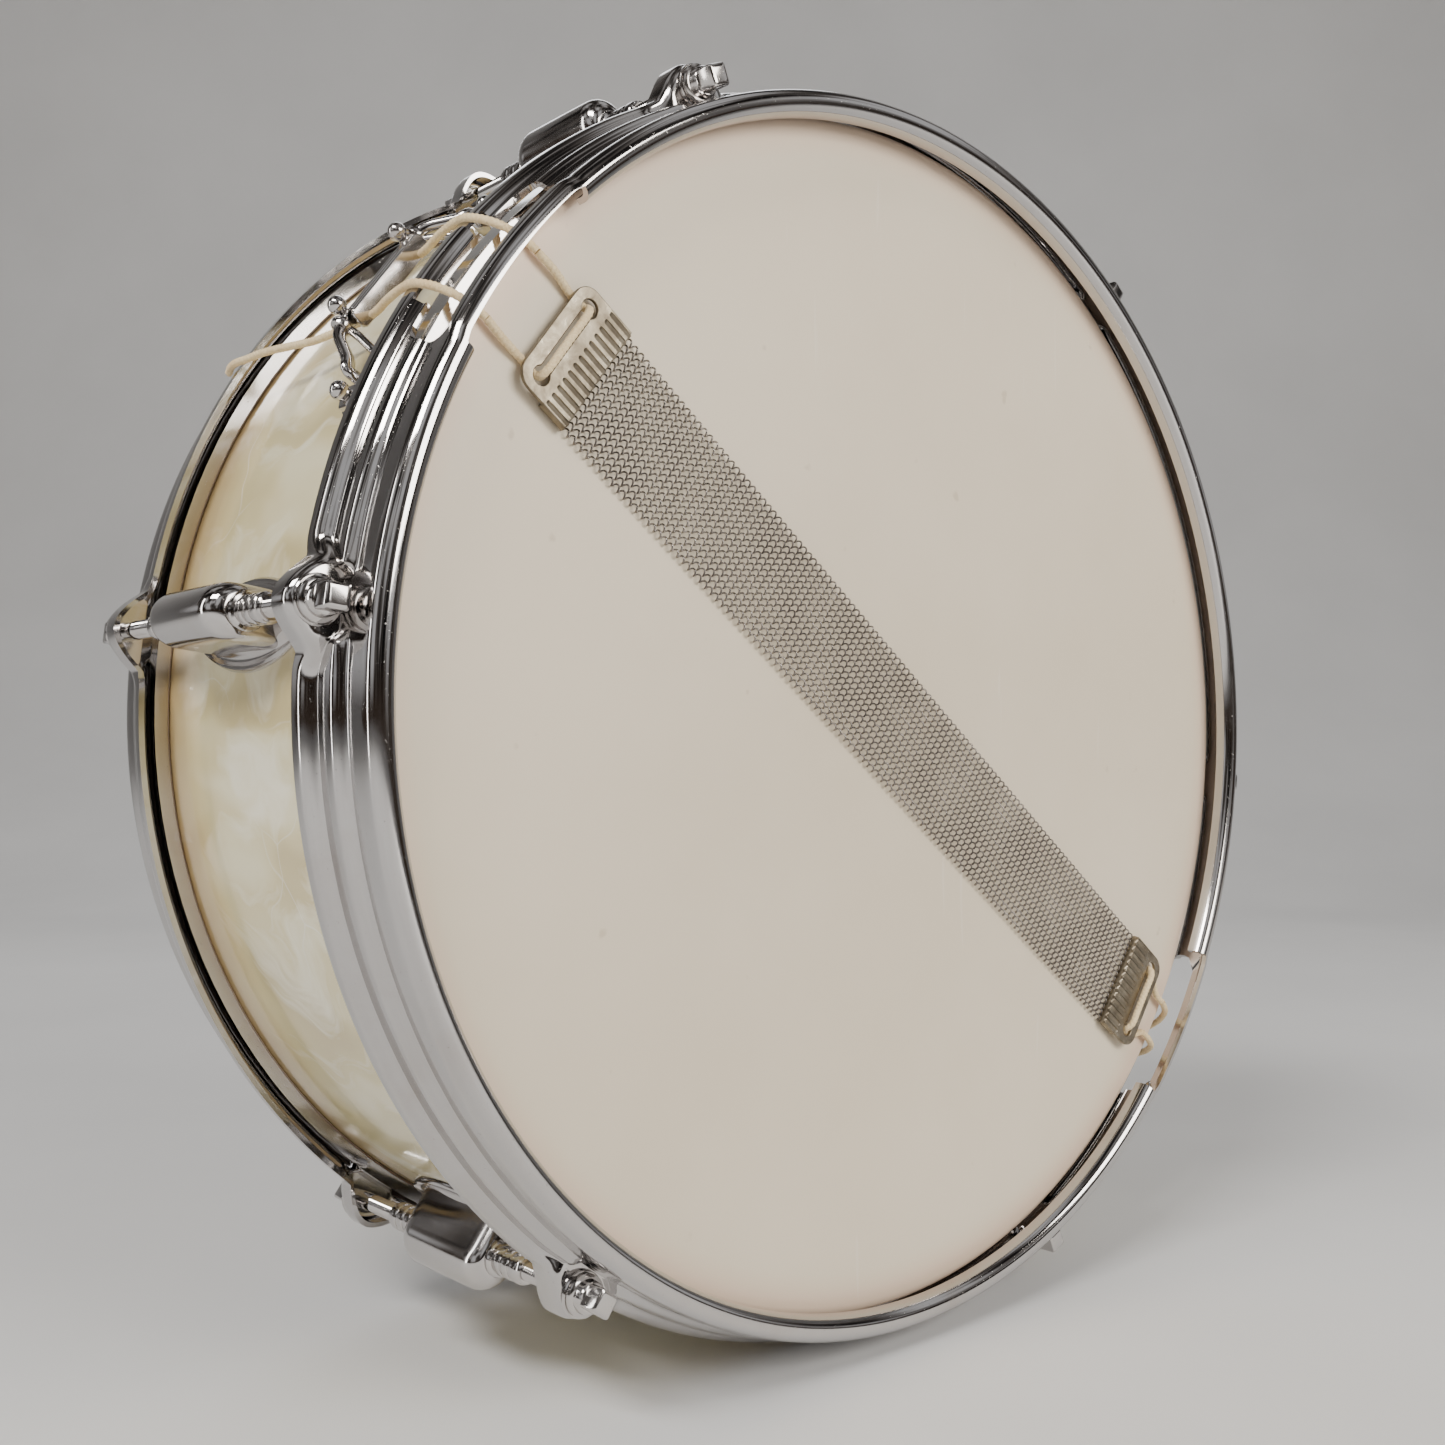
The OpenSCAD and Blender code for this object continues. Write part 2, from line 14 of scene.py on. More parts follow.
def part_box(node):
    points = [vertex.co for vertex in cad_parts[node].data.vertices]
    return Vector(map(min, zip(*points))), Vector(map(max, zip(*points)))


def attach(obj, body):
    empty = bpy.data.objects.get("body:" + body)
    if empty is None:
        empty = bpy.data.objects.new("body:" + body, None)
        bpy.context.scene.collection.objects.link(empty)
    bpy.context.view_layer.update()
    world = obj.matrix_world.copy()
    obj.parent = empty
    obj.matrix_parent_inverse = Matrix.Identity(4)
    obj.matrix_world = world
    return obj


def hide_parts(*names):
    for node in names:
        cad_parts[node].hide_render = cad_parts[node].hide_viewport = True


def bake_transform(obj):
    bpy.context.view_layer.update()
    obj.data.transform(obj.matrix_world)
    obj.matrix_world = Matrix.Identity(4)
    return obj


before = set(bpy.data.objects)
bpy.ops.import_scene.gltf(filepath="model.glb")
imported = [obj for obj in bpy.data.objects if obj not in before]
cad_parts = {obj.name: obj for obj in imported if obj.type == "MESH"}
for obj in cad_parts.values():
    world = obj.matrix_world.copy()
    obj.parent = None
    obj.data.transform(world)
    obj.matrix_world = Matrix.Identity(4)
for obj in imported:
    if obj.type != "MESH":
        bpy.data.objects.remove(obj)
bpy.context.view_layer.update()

# ---- Sizes, in mm, taken from the frame or the same as the CAD's ----

MM = 0.001
AXIS_Z = (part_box("shell")[0][2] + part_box("shell")[1][2]) / 2
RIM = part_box("batter_hoop")[1][1] / MM
HALF_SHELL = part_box("shell")[1][1] / MM
COVER_R = (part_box("pearl_cover")[1][0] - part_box("pearl_cover")[0][0]) / 2 / MM
FIRST_LUG = -6.8
LUGS = [FIRST_LUG + 60 * i for i in range(6)]
STRAINER = FIRST_LUG + 150
BACK_GATE = STRAINER + 179.1
BUTT = STRAINER + 177.2
ROD_CIRCLE = 188.0
CORD_R = 1.1


# ---- Camera ----

def add_camera():
    """The view of the photograph: from the left, a little below the drum's axis."""
    forward = Vector((0.662, 0.749, 0.026)).normalized()
    up = Vector((-0.016, -0.020, 1.0))
    right = forward.cross(up).normalized()
    up = right.cross(forward)
    data = bpy.data.cameras.new("camera")
    data.sensor_width = 36
    data.lens = 38.27
    data.clip_start = 0.01
    camera = bpy.data.objects.new("camera", data)
    bpy.context.scene.collection.objects.link(camera)
    turn = Matrix((right, up, -forward)).transposed().to_4x4()
    camera.matrix_world = Matrix.Translation((-0.3478, -0.3787, AXIS_Z - 0.0148)) @ turn
    bpy.context.scene.camera = camera


add_camera()


# ---- Node materials ----

def add_node(tree, kind, inputs=None, **settings):
    node = tree.nodes.new(kind)
    for name, value in settings.items():
        setattr(node, name, value)
    for key, value in (inputs or {}).items():
        if isinstance(value, bpy.types.NodeSocket):
            tree.links.new(value, node.inputs[key])
        else:
            node.inputs[key].default_value = value
    return node


def noise(tree, place, scale, detail=3.0, rough=0.55, distortion=0.0):
    inputs = {"Vector": place, "Scale": scale, "Detail": detail, "Roughness": rough,
              "Distortion": distortion}
    return add_node(tree, "ShaderNodeTexNoise", inputs).outputs[0]


def ramp(tree, value, *stops):
    """Grey levels or colours at places from 0 to 1."""
    node = add_node(tree, "ShaderNodeValToRGB", {0: value})
    elements = node.color_ramp.elements
    while len(elements) < len(stops):
        elements.new(0.5)
    for element, (place, colour) in zip(elements, stops):
        element.position = place
        element.color = (*(colour if isinstance(colour, tuple) else (colour,) * 3), 1)
    return node.outputs[0]


def mix(tree, amount, a, b, blend="MIX"):
    node = add_node(tree, "ShaderNodeMix", data_type="RGBA", blend_type=blend)
    for index, value in ((0, amount), (6, a), (7, b)):
        if isinstance(value, bpy.types.NodeSocket):
            tree.links.new(value, node.inputs[index])
        elif index == 0:
            node.inputs[0].default_value = value
        else:
            node.inputs[index].default_value = (*value, 1)
    return node.outputs[2]


def maths(tree, operation, a, b=0.0):
    return add_node(tree, "ShaderNodeMath", {0: a, 1: b}, operation=operation).outputs[0]


def vector_maths(tree, operation, a, b):
    return add_node(tree, "ShaderNodeVectorMath", {0: a, 1: b}, operation=operation).outputs[0]


def mapped(tree, vector, turn, scale):
    inputs = {"Vector": vector, "Rotation": turn, "Scale": scale}
    return add_node(tree, "ShaderNodeMapping", inputs).outputs[0]


def stretched(tree, scale=(1, 1, 1)):
    """The row's own place, scaled for a texture."""
    return mapped(tree, add_node(tree, "ShaderNodeTexCoord").outputs["Object"], (0, 0, 0), scale)


def material(name, **sockets):
    """A new Principled material, its tree, and a function that links a value to one of its sockets."""
    made = bpy.data.materials.new(name)
    made.use_nodes = True
    tree = made.node_tree
    shader = tree.nodes["Principled BSDF"]
    for key, value in sockets.items():
        shader.inputs[key.replace("_", " ").title() if key != "ior" else "IOR"].default_value = value

    def link(socket, value):
        tree.links.new(value, shader.inputs[socket])
    return made, tree, link


def bump(tree, height, distance, strength=1.0, normal=None):
    inputs = {"Height": height, "Distance": distance, "Strength": strength}
    if normal is not None:
        inputs["Normal"] = normal
    return add_node(tree, "ShaderNodeBump", inputs).outputs[0]


def chrome_material(name, tint, low, high, pits):
    """Plating: smudged, lightly pitted, a little brown where it is thin."""
    made, tree, link = material(name, metallic=1.0)
    place = stretched(tree)
    smudge = noise(tree, place, 38, 6, 0.65, 0.6)
    patch = noise(tree, place, 11, 3, 0.5)
    speck = noise(tree, place, 1500, 2, 0.6)
    link("Roughness", ramp(tree, smudge, (0.35, low), (0.72, high)))
    tarnish = ramp(tree, maths(tree, "MULTIPLY", smudge, patch), (0.26, 0.0), (0.5, 0.55))
    dull = tuple(c * f for c, f in zip(tint, (0.78, 0.70, 0.62)))
    clean = mix(tree, tarnish, tint, dull)
    spots = ramp(tree, speck, (0.70, 0.0), (0.78, 1.0))
    link("Base Color", mix(tree, maths(tree, "MULTIPLY", spots, 0.5), clean, (0.16, 0.13, 0.11)))
    ripple = bump(tree, noise(tree, place, 60, 2, 0.5), 0.00004, 0.5)
    link("Normal", bump(tree, spots, 0.00003, pits, ripple))
    return made


def pearl_material():
    """Celluloid pearl: cream flakes, pale streaks, fine cracks, and amber where it has aged at the edges."""
    made, tree, link = material("pearl", roughness=0.2, coat_weight=0.6, coat_roughness=0.06)
    place = stretched(tree)
    swirl = add_node(tree, "ShaderNodeTexNoise", {"Vector": place, "Scale": 14.0, "Detail": 3.0}).outputs[1]
    bent = vector_maths(tree, "MULTIPLY", swirl, (0.055, 0.055, 0.055))
    moved = vector_maths(tree, "ADD", place, bent)
    slanted = mapped(tree, moved, (0.3, 0.5, 0.2), (1.0, 0.45, 1.5))
    flake = add_node(tree, "ShaderNodeTexVoronoi", {"Vector": slanted, "Scale": 44.0, "Smoothness": 0.8},
                     feature="SMOOTH_F1")
    level = add_node(tree, "ShaderNodeSeparateColor", {0: flake.outputs["Color"]}).outputs[0]
    body = ramp(tree, level, (0.05, (0.60, 0.50, 0.26)), (0.45, (0.72, 0.63, 0.35)),
                (0.9, (0.84, 0.77, 0.52)))
    streak = noise(tree, mapped(tree, moved, (0.1, 0.9, 0.5), (3.2, 0.5, 0.7)), 30, 4, 0.6, 0.4)
    pale = ramp(tree, streak, (0.53, 0.0), (0.68, 0.8))
    body = mix(tree, pale, body, (0.94, 0.90, 0.72))
    crack = add_node(tree, "ShaderNodeTexVoronoi", {"Vector": moved, "Scale": 30.0},
                     feature="DISTANCE_TO_EDGE").outputs[0]
    line = ramp(tree, crack, (0.0, 1.0), (0.012, 0.0))
    here = ramp(tree, noise(tree, place, 9, 2), (0.5, 0.0), (0.62, 0.85))
    body = mix(tree, maths(tree, "MULTIPLY", line, here), body, (0.95, 0.93, 0.85))
    across = add_node(tree, "ShaderNodeSeparateXYZ", {0: place}).outputs[1]
    edge = maths(tree, "ADD", maths(tree, "ABSOLUTE", across), maths(tree, "MULTIPLY", streak, 0.016))
    aged = ramp(tree, maths(tree, "MULTIPLY", edge, 14.0), (0.50, 0.0), (0.85, 0.75))
    link("Base Color", mix(tree, aged, body, (0.66, 0.43, 0.19)))
    link("Normal", bump(tree, level, 0.0002, 0.12))
    return made


def film_material():
    """Hazy drum head: slightly mottled, tan towards the edge with painted shade there, specks and fine
    scratches.
    """
    made, tree, link = material("film", roughness=0.42, coat_weight=0.15, coat_roughness=0.3)
    place = stretched(tree)
    cloud = noise(tree, place, 7, 4, 0.6)
    body = ramp(tree, cloud, (0.3, (0.69, 0.595, 0.455)), (0.7, (0.75, 0.66, 0.515)))
    flat = vector_maths(tree, "MULTIPLY", place, (1, 0, 1))
    from_axis = vector_maths(tree, "SUBTRACT", flat, (0, 0, AXIS_Z))
    radius = add_node(tree, "ShaderNodeVectorMath", {0: from_axis}, operation="LENGTH").outputs[1]
    wobble = maths(tree, "ADD", radius, maths(tree, "MULTIPLY", cloud, 0.004))
    # A darker tan ring from about 167 mm out: partly the collar's own tint, partly painted shade under the
    # hoop.
    near_edge = maths(tree, "MULTIPLY", maths(tree, "SUBTRACT", wobble, 0.165), 50.0)
    rim = ramp(tree, near_edge, (0.1, 0.0), (0.5, 0.7))
    body = mix(tree, rim, body, (0.74, 0.55, 0.42))
    dots = ramp(tree, noise(tree, place, 120, 2, 0.5), (0.74, 0.0), (0.80, 0.45))
    body = mix(tree, dots, body, (0.46, 0.35, 0.25))
    hair = noise(tree, mapped(tree, place, (0, 0.7, 0), (1, 1, 0.05)), 260, 2, 0.5, 0.3)
    scratch = ramp(tree, hair, (0.735, 0.0), (0.76, 0.22))
    link("Base Color", mix(tree, scratch, body, (0.86, 0.80, 0.72)))
    link("Roughness", ramp(tree, cloud, (0.3, 0.36), (0.7, 0.52)))
    link("Normal", bump(tree, noise(tree, place, 900, 3, 0.6), 0.00002, 0.35))
    return made


def cotton_material():
    made, tree, link = material("waxed_cotton", roughness=0.85, sheen_weight=0.12, sheen_roughness=0.5)
    place = stretched(tree)
    fibre = noise(tree, place, 1600, 3, 0.7)
    stain = noise(tree, place, 60, 3)
    light = ramp(tree, fibre, (0.3, (0.68, 0.51, 0.28)), (0.7, (0.94, 0.79, 0.50)))
    link("Base Color", mix(tree, ramp(tree, stain, (0.45, 0.0), (0.75, 0.5)), light, (0.70, 0.44, 0.19)))
    link("Normal", bump(tree, fibre, 0.00012, 0.6))
    return made


def nickel_material():
    """Tarnished plate: greenish grey, brighter where it is rubbed."""
    made, tree, link = material("tarnished_nickel", metallic=1.0)
    place = stretched(tree)
    blot = noise(tree, place, 120, 5, 0.7, 0.5)
    link("Base Color", ramp(tree, blot, (0.3, (0.12, 0.095, 0.065)), (0.55, (0.25, 0.215, 0.16)),
                            (0.8, (0.46, 0.42, 0.34))))
    link("Roughness", ramp(tree, blot, (0.3, 0.45), (0.75, 0.2)))
    link("Normal", bump(tree, noise(tree, place, 700, 4, 0.7), 0.00006, 0.5))
    return made


def wire_material():
    made, tree, link = material("snare_steel", metallic=1.0)
    place = stretched(tree)
    grime = noise(tree, place, 55, 4, 0.6)
    link("Base Color", ramp(tree, grime, (0.3, (0.12, 0.105, 0.095)), (0.7, (0.30, 0.275, 0.255))))
    link("Roughness", ramp(tree, grime, (0.3, 0.34), (0.7, 0.18)))
    return made


def wood_material():
    """Inner maple ply, with grain round the shell."""
    made, tree, link = material("maple", roughness=0.5)
    place = stretched(tree, (4, 34, 4))
    grain = noise(tree, place, 12, 6, 0.6, 0.8)
    link("Base Color", ramp(tree, grain, (0.3, (0.42, 0.25, 0.12)), (0.65, (0.62, 0.42, 0.24))))
    link("Normal", bump(tree, grain, 0.0001, 0.4))
    return made


def brass_material():
    made, tree, link = material("grommet_brass", metallic=1.0)
    place = stretched(tree)
    blot = noise(tree, place, 160, 4, 0.6)
    link("Base Color", ramp(tree, blot, (0.3, (0.34, 0.27, 0.13)), (0.7, (0.66, 0.56, 0.33))))
    link("Roughness", ramp(tree, blot, (0.3, 0.4), (0.7, 0.18)))
    return made


CHROME = chrome_material("hoop_chrome", (0.55, 0.535, 0.53), 0.05, 0.15, 0.6)
BRIGHT = chrome_material("bright_chrome", (0.58, 0.56, 0.55), 0.06, 0.2, 0.4)
PEARL = pearl_material()
FILM = film_material()
COTTON = cotton_material()
NICKEL = nickel_material()
STEEL = wire_material()
MAPLE = wood_material()
BRASS = brass_material()


# ---- Shapes ----

def station(angle):
    """From millimetres at that angle of the drum's edge to the row frame."""
    a = math.radians(angle)
    c, s = math.cos(a), math.sin(a)
    place = Matrix(((c, 0, -s, 0), (0, 1, 0, 0), (s, 0, c, AXIS_Z), (0, 0, 0, 1)))
    return place @ Matrix.Scale(MM, 4)


def side_of(side):
    """The batter side as it is drawn, or mirrored to the snare side."""
    return Matrix.Identity(4) if side > 0 else Matrix.Scale(-1, 4, (0, 1, 0))


def placed(matrix, points):
    m = np.array(matrix)
    return np.asarray(points, float) @ m[:3, :3].T + m[:3, 3]


class Build:
    """Collects parts of one piece as points and faces."""

    def __init__(self):
        self.points = []
        self.faces = []
        self.count = 0

    def add(self, points, faces, matrix):
        self.points.append(placed(matrix, points))
        self.faces += [[i + self.count for i in f] for f in faces]
        self.count += len(points)

    def piece(self, name, look, body, stands_for=(), sharp=40):
        mesh = bpy.data.meshes.new(name)
        mesh.from_pydata(np.concatenate(self.points).tolist(), [], self.faces)
        bm = bmesh.new()
        bm.from_mesh(mesh)
        bmesh.ops.recalc_face_normals(bm, faces=bm.faces)
        bm.to_mesh(mesh)
        bm.free()
        mesh.polygons.foreach_set("use_smooth", [True] * len(mesh.polygons))
        mesh.set_sharp_from_angle(angle=math.radians(sharp))
        return finish_piece(name, mesh, look, body, stands_for)


def finish_piece(name, mesh, look, body, stands_for=()):
    mesh.materials.clear()
    mesh.materials.append(look)
    obj = bpy.data.objects.new(name, mesh)
    bpy.context.scene.collection.objects.link(obj)
    if stands_for:
        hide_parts(*stands_for)
    if body:
        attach(obj, body)
    return obj


def grid_faces(rows, columns, round_rows=False, round_columns=True, keep=None):
    faces = []
    for i in range(rows if round_rows else rows - 1):
        for j in range(columns if round_columns else columns - 1):
            if keep is None or keep(i, j):
                k, l = (i + 1) % rows, (j + 1) % columns
                faces.append((i * columns + j, i * columns + l, k * columns + l, k * columns + j))
    return faces


def lofted(rows):
    """Rings of points, each joined to the next, with both ends closed."""
    count = len(rows[0])
    faces = grid_faces(len(rows), count)
    faces += [tuple(range(count)), tuple(range((len(rows) - 1) * count, len(rows) * count))]
    return np.array(rows, float).reshape(-1, 3), faces


def turned(profile, sides, axis="y", centre=(0, 0, 0), caps=True):
    """A profile of (radius, height) turned round an axis; its ends are closed."""
    points = []
    for r, h in profile:
        for k in range(sides):
            a = 2 * math.pi * k / sides
            u, v = r * math.cos(a), r * math.sin(a)
            points.append({"x": (h, u, v), "y": (v, h, u), "z": (u, v, h)}[axis])
    points = np.array(points) + np.array(centre)
    faces = grid_faces(len(profile), sides)
    if caps:
        faces += [tuple(range(sides)), tuple(range(len(points) - sides, len(points)))]
    return points, faces


def smooth(route, steps):
    """Catmull-Rom through the route's points."""
    p = [np.array(q, float) for q in route]
    out = []
    for i in range(len(p) - 1):
        a, b, c, d = p[max(i - 1, 0)], p[i], p[i + 1], p[min(i + 2, len(p) - 1)]
        for k in range(steps):
            s = k / steps
            out.append(0.5 * (2 * b + (c - a) * s + (2 * a - 5 * b + 4 * c - d) * s * s
                              + (3 * b - 3 * c + d - a) * s ** 3))
    return np.array(out + [p[-1]])


def evenly(line, gap):
    """The same line with points about gap apart."""
    steps = np.linalg.norm(np.diff(line, axis=0), axis=1)
    along = np.concatenate([[0], np.cumsum(steps)])
    places = np.linspace(0, along[-1], max(2, int(round(along[-1] / gap)) + 1))
    return np.stack([np.interp(places, along, line[:, k]) for k in range(3)], 1), places


def tube(line, along, radius, sides, squash_to=1.0):
    """A tube round a line; radius is a number or a function of (angles, distance along)."""
    tangents = np.gradient(line, axis=0)
    tangents /= np.linalg.norm(tangents, axis=1)[:, None]
    start = np.cross(tangents[0], (0, 1, 0) if abs(tangents[0][1]) < 0.8 else (1, 0, 0))
    side = start / np.linalg.norm(start)
    angles = 2 * math.pi * np.arange(sides) / sides
    rings = []
    for p, t, s in zip(line, tangents, along):
        side = side - np.dot(side, t) * t
        side /= np.linalg.norm(side)
        up = np.cross(t, side)
        r = radius(angles, s) if callable(radius) else np.full(sides, radius)
        rings.append(p + np.outer(r * np.cos(angles), side) + np.outer(squash_to * r * np.sin(angles), up))
    return lofted(rings)


def plate_mesh(outline, holes, thickness, edge):
    """A flat plate with rounded edges: (x, z) outlines, lying from y = 0 to y = thickness."""
    curve = bpy.data.curves.new("outline", "CURVE")
    curve.dimensions = "2D"
    curve.fill_mode = "BOTH"
    curve.extrude = thickness / 2 - edge
    curve.bevel_depth = edge
    curve.bevel_resolution = 2
    curve.offset = -edge
    for loop in [outline] + list(holes):
        spline = curve.splines.new("POLY")
        spline.points.add(len(loop) - 1)
        for point, (x, z) in zip(spline.points, loop):
            point.co = (x, z, 0, 1)
        spline.use_cyclic_u = True
    obj = bpy.data.objects.new("outline", curve)
    mesh = obj.to_mesh()
    points = np.array([(v.co.x, v.co.z + thickness / 2, v.co.y) for v in mesh.vertices])
    faces = [tuple(p.vertices) for p in mesh.polygons]
    obj.to_mesh_clear()
    bpy.data.objects.remove(obj)
    bpy.data.curves.remove(curve)
    return points, faces


def arc(centre, r, start, end, steps):
    """Points (x, z) on an arc, angles in degrees."""
    turn = [math.radians(start + (end - start) * k / steps) for k in range(steps + 1)]
    return [(centre[0] + r * math.cos(a), centre[1] + r * math.sin(a)) for a in turn]


def rounded_box(start, end, half, r):
    """A box's outline (x, z) with rounded corners: start, end and half place the corners' centres."""
    return (arc((start, -half), r, 180, 270, 4) + arc((end, -half), r, 270, 360, 4)
            + arc((end, half), r, 0, 90, 4) + arc((start, half), r, 90, 180, 4))


def ease(x):
    """0 up to 0, 1 from 1 on, and smooth between."""
    x = min(max(x, 0.0), 1.0)
    return x * x * (3 - 2 * x)


# ---- Cords: they come first, and repeat the CAD's routes ----

CORD_Z = 12.8
STRANDS = 3
LAY = 4.6


def twist(angles, s):
    """A three strand cord's outline, turning along it."""
    return CORD_R * (0.84 + 0.2 * np.abs(np.cos(STRANDS / 2 * (angles - 2 * math.pi * s / LAY))))


def add_cord(build, route, matrix):
    line, along = evenly(smooth(route, 8), 0.34)
    build.add(*tube(line, along, twist, 18), matrix)
    return line


TAIL = [(183.8, -13.5, CORD_Z - 1), (184, -8, CORD_Z - 0.6), (184.4, -2, CORD_Z),
        (185, 5, CORD_Z + 1), (185.8, 12, CORD_Z + 1), (186.6, 19, CORD_Z + 1),
        (187.4, 26, CORD_Z + 1), (188, 33, CORD_Z + 1), (188.6, 40, CORD_Z + 2),
        (188.9, 46, CORD_Z + 2), (188.4, 51, CORD_Z + 2), (187, 55, CORD_Z + 2)]


def add_tail():
    """The cord's free end, which lies over the batter hoop's flange."""
    build = Build()
    add_cord(build, TAIL, station(STRAINER))
    obj = build.piece("cord_tail_twist", COTTON, None, ("cord_tail",), 60)
    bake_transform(obj)
    path, along = evenly(smooth(TAIL, 8), 1.8)
    path = placed(station(STRAINER), path)


add_tail()

RUN = [(183.8, -13.6, 0), (183.8, -16.5, 0), (183.8, -19, 0), (184.2, -23, 0), (184.9, -28, 0),
       (186.2, -34, 0.2), (187.2, -40, 0.4), (187.8, -45.5, 0.5), (187.9, -49.5, 0.6),
       (186.7, -53.5, 0.8), (184.3, -57.9, 1), (181, -62, 1.4), (177, -64.9, 1.8), (173.05, -66, 2.12)]
STRAIGHT_POINTS = 5
SNARE_TURN = -0.44
SNARE_SHIFT = 3.45
SLOT_IN = 11.7
SLOT_WIDTH = 3.2
SLOT_HALF = 12.2
FRONT_PLATE = 140.5
BACK_PLATE = 145.0
PLATE_LENGTH = 19.0


def snare_line(end):
    """The snares' own line: x runs from the middle to the strainer end, or to the butt end."""
    place = station(STRAINER + SNARE_TURN) @ Matrix.Translation((0, 0, SNARE_SHIFT))
    return place if end > 0 else place @ Matrix.Scale(-1, 4, (1, 0, 0))


def run_route(side):
    """One run: through the clamp at one width, then over the flange a little wider, drifting to one side."""
    widths = [CORD_Z - (1 if i < STRAIGHT_POINTS else 0.6) for i in range(len(RUN))]
    return [(x, y, side * width + drift) for (x, y, drift), width in zip(RUN, widths)]


def loop_route(plate, half):
    """Under the plate, up through the slot's end, across it and back the same way."""
    x = plate + SLOT_IN + SLOT_WIDTH / 2
    start = 172.95
    under, over = -65.08, -68.58
    there = [(start, -66, half), ((start + plate + PLATE_LENGTH) / 2, -65.8, half + 0.3),
             (plate + PLATE_LENGTH, under, 12), (x + 3.8, under, SLOT_HALF),
             (x + 1.2, -65.3, SLOT_HALF + 0.1), (x, -66.6, SLOT_HALF + 0.1),
             (x, -67.8, SLOT_HALF - 0.9), (x, over, SLOT_HALF - 2.9), (x, over, 5), (x, over, 2)]
    return there + [(a, b, -c) for a, b, c in reversed(there)]


BUTT_CORD_Z = 4.4
BACK_HALF = 7.5
BACK_DRIFT = 3.67
BACK = [(179.95, -22, 0), (180, -28, 0), (180, -34, 0), (180.05, -39, 0), (181.3, -41.6, 0),
        (184.6, -43.6, 0), (187.7, -45.1, 0), (188.9, -47.1, 0.1), (188.9, -49, 0.2), (187.9, -51.5, 0.3),
        (186.2, -54.2, 0.4), (184.4, -57.4, 0.5), (181.9, -61.4, 0.7), (178, -64.9, 0.9), (173.05, -66, 1)]


def back_route(side):
    """One run, whose third value is how far it has spread from the butt's width to the plate's."""
    spread = BACK_HALF - BUTT_CORD_Z
    return [(x, y, side * (BUTT_CORD_Z + spread * t) + BACK_DRIFT * t) for x, y, t in BACK]


def add_snare_cords():
    front = Build()
    for side in (-1, 1):
        add_cord(front, run_route(side), station(STRAINER))
    obj = front.piece("front_cord_twist", COTTON, None, ("front_cord",), 60)
    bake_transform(obj)
    loop = Build()
    add_cord(loop, loop_route(FRONT_PLATE, CORD_Z - 0.6), snare_line(1))
    loop.piece("front_loop_twist", COTTON, "snares", ("front_loop",), 60)
    back = Build()
    for side in (-1, 1):
        add_cord(back, back_route(side), station(BUTT))
    obj = back.piece("back_cord_twist", COTTON, None, ("back_cord",), 60)
    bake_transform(obj)
    loop = Build()
    add_cord(loop, loop_route(BACK_PLATE, BACK_HALF), snare_line(-1))
    loop.piece("back_loop_twist", COTTON, "snares", ("back_loop",), 60)


add_snare_cords()


# ---- Hoops ----

SHEET = 1.6
EAR_TOP = 17.0
FLANGE_R = 187.5
EAR_HALF = 18.0
EAR_REACH = 195.0
EAR_BASE = 184.4
GATE_HALF = 28.5
GATE_TOP = 5.6
GATE_LOW = 20.0
NOTCH_HALF = 3.2
LIP_R = 175.2
WALL_R = 180.8
SKIRT_R = 183.4


def bends(corners, steps=5):
    """A line through corners (r, depth, reach), each rounded over its reach."""
    out = []
    for i, (r, d, reach) in enumerate(corners):
        here = np.array((r, d))
        if reach == 0 or i in (0, len(corners) - 1):
            out.append(here)
            continue
        before = np.array(corners[i - 1][:2]) - here
        after = np.array(corners[i + 1][:2]) - here
        a = here + before * min(0.5, reach / max(np.linalg.norm(before), 1e-6))
        b = here + after * min(0.5, reach / max(np.linalg.norm(after), 1e-6))
        for k in range(steps + 1):
            s = k / steps
            out.append((1 - s) ** 2 * a + 2 * s * (1 - s) * here + s * s * b)
    return out


def hoop_centre(z):
    """The hoop sheet's middle line as (r, depth), z mm from the nearest tension rod."""
    crown = (WALL_R - LIP_R) / 2
    deep = crown + SHEET / 2
    line = [(LIP_R, 5.8), (LIP_R, 4.6)]
    for a in np.linspace(0, math.pi, 15):
        line.append((LIP_R + crown - crown * math.cos(a), deep - crown * math.sin(a)))
    up = ease((EAR_HALF - 1 - abs(z)) / 9)
    edge = FLANGE_R - SHEET / 2
    bulge = EAR_BASE + (EAR_REACH - EAR_BASE) * (1 + math.cos(math.pi * min(abs(z) / EAR_HALF, 1))) / 2
    out = max(edge, bulge - SHEET / 2)
    wall = [(WALL_R, GATE_TOP, 0), (WALL_R, 8, 0), (WALL_R, 10, 0), (WALL_R, 12.6, 1.4)]
    plain = wall + [(SKIRT_R, 14.4, 1.4), (SKIRT_R, 17, 0), (SKIRT_R, 18.6, 0), (SKIRT_R, GATE_LOW, 0),
                    (SKIRT_R, 21.9, 1.6), (edge, 23.6, 2.4), (edge, 27.8, 0)]
    ear = wall + [(SKIRT_R, 14.2, 1.2), (SKIRT_R, 15, 0), (SKIRT_R, 15.8, 0), (SKIRT_R, 16.4, 0),
                  (SKIRT_R + 0.2, 17.8, 1.0), (out, 17.9, 2.6), (out, 25.5, 0)]
    mixed = [[(1 - up) * p + up * q for p, q in zip(a, b)] for a, b in zip(plain, ear)]
    pocket = ease((10 - abs(z)) / 4)
    for corner in mixed:
        if corner[1] < EAR_TOP:
            corner[0] -= pocket * max(0, corner[0] - WALL_R)
    under_ear = mixed[8]
    under_ear[0] -= pocket * (under_ear[0] - WALL_R - 0.2)
    for corner in mixed[-2:]:
        corner[0] = out
    return np.array(line + bends(mixed))


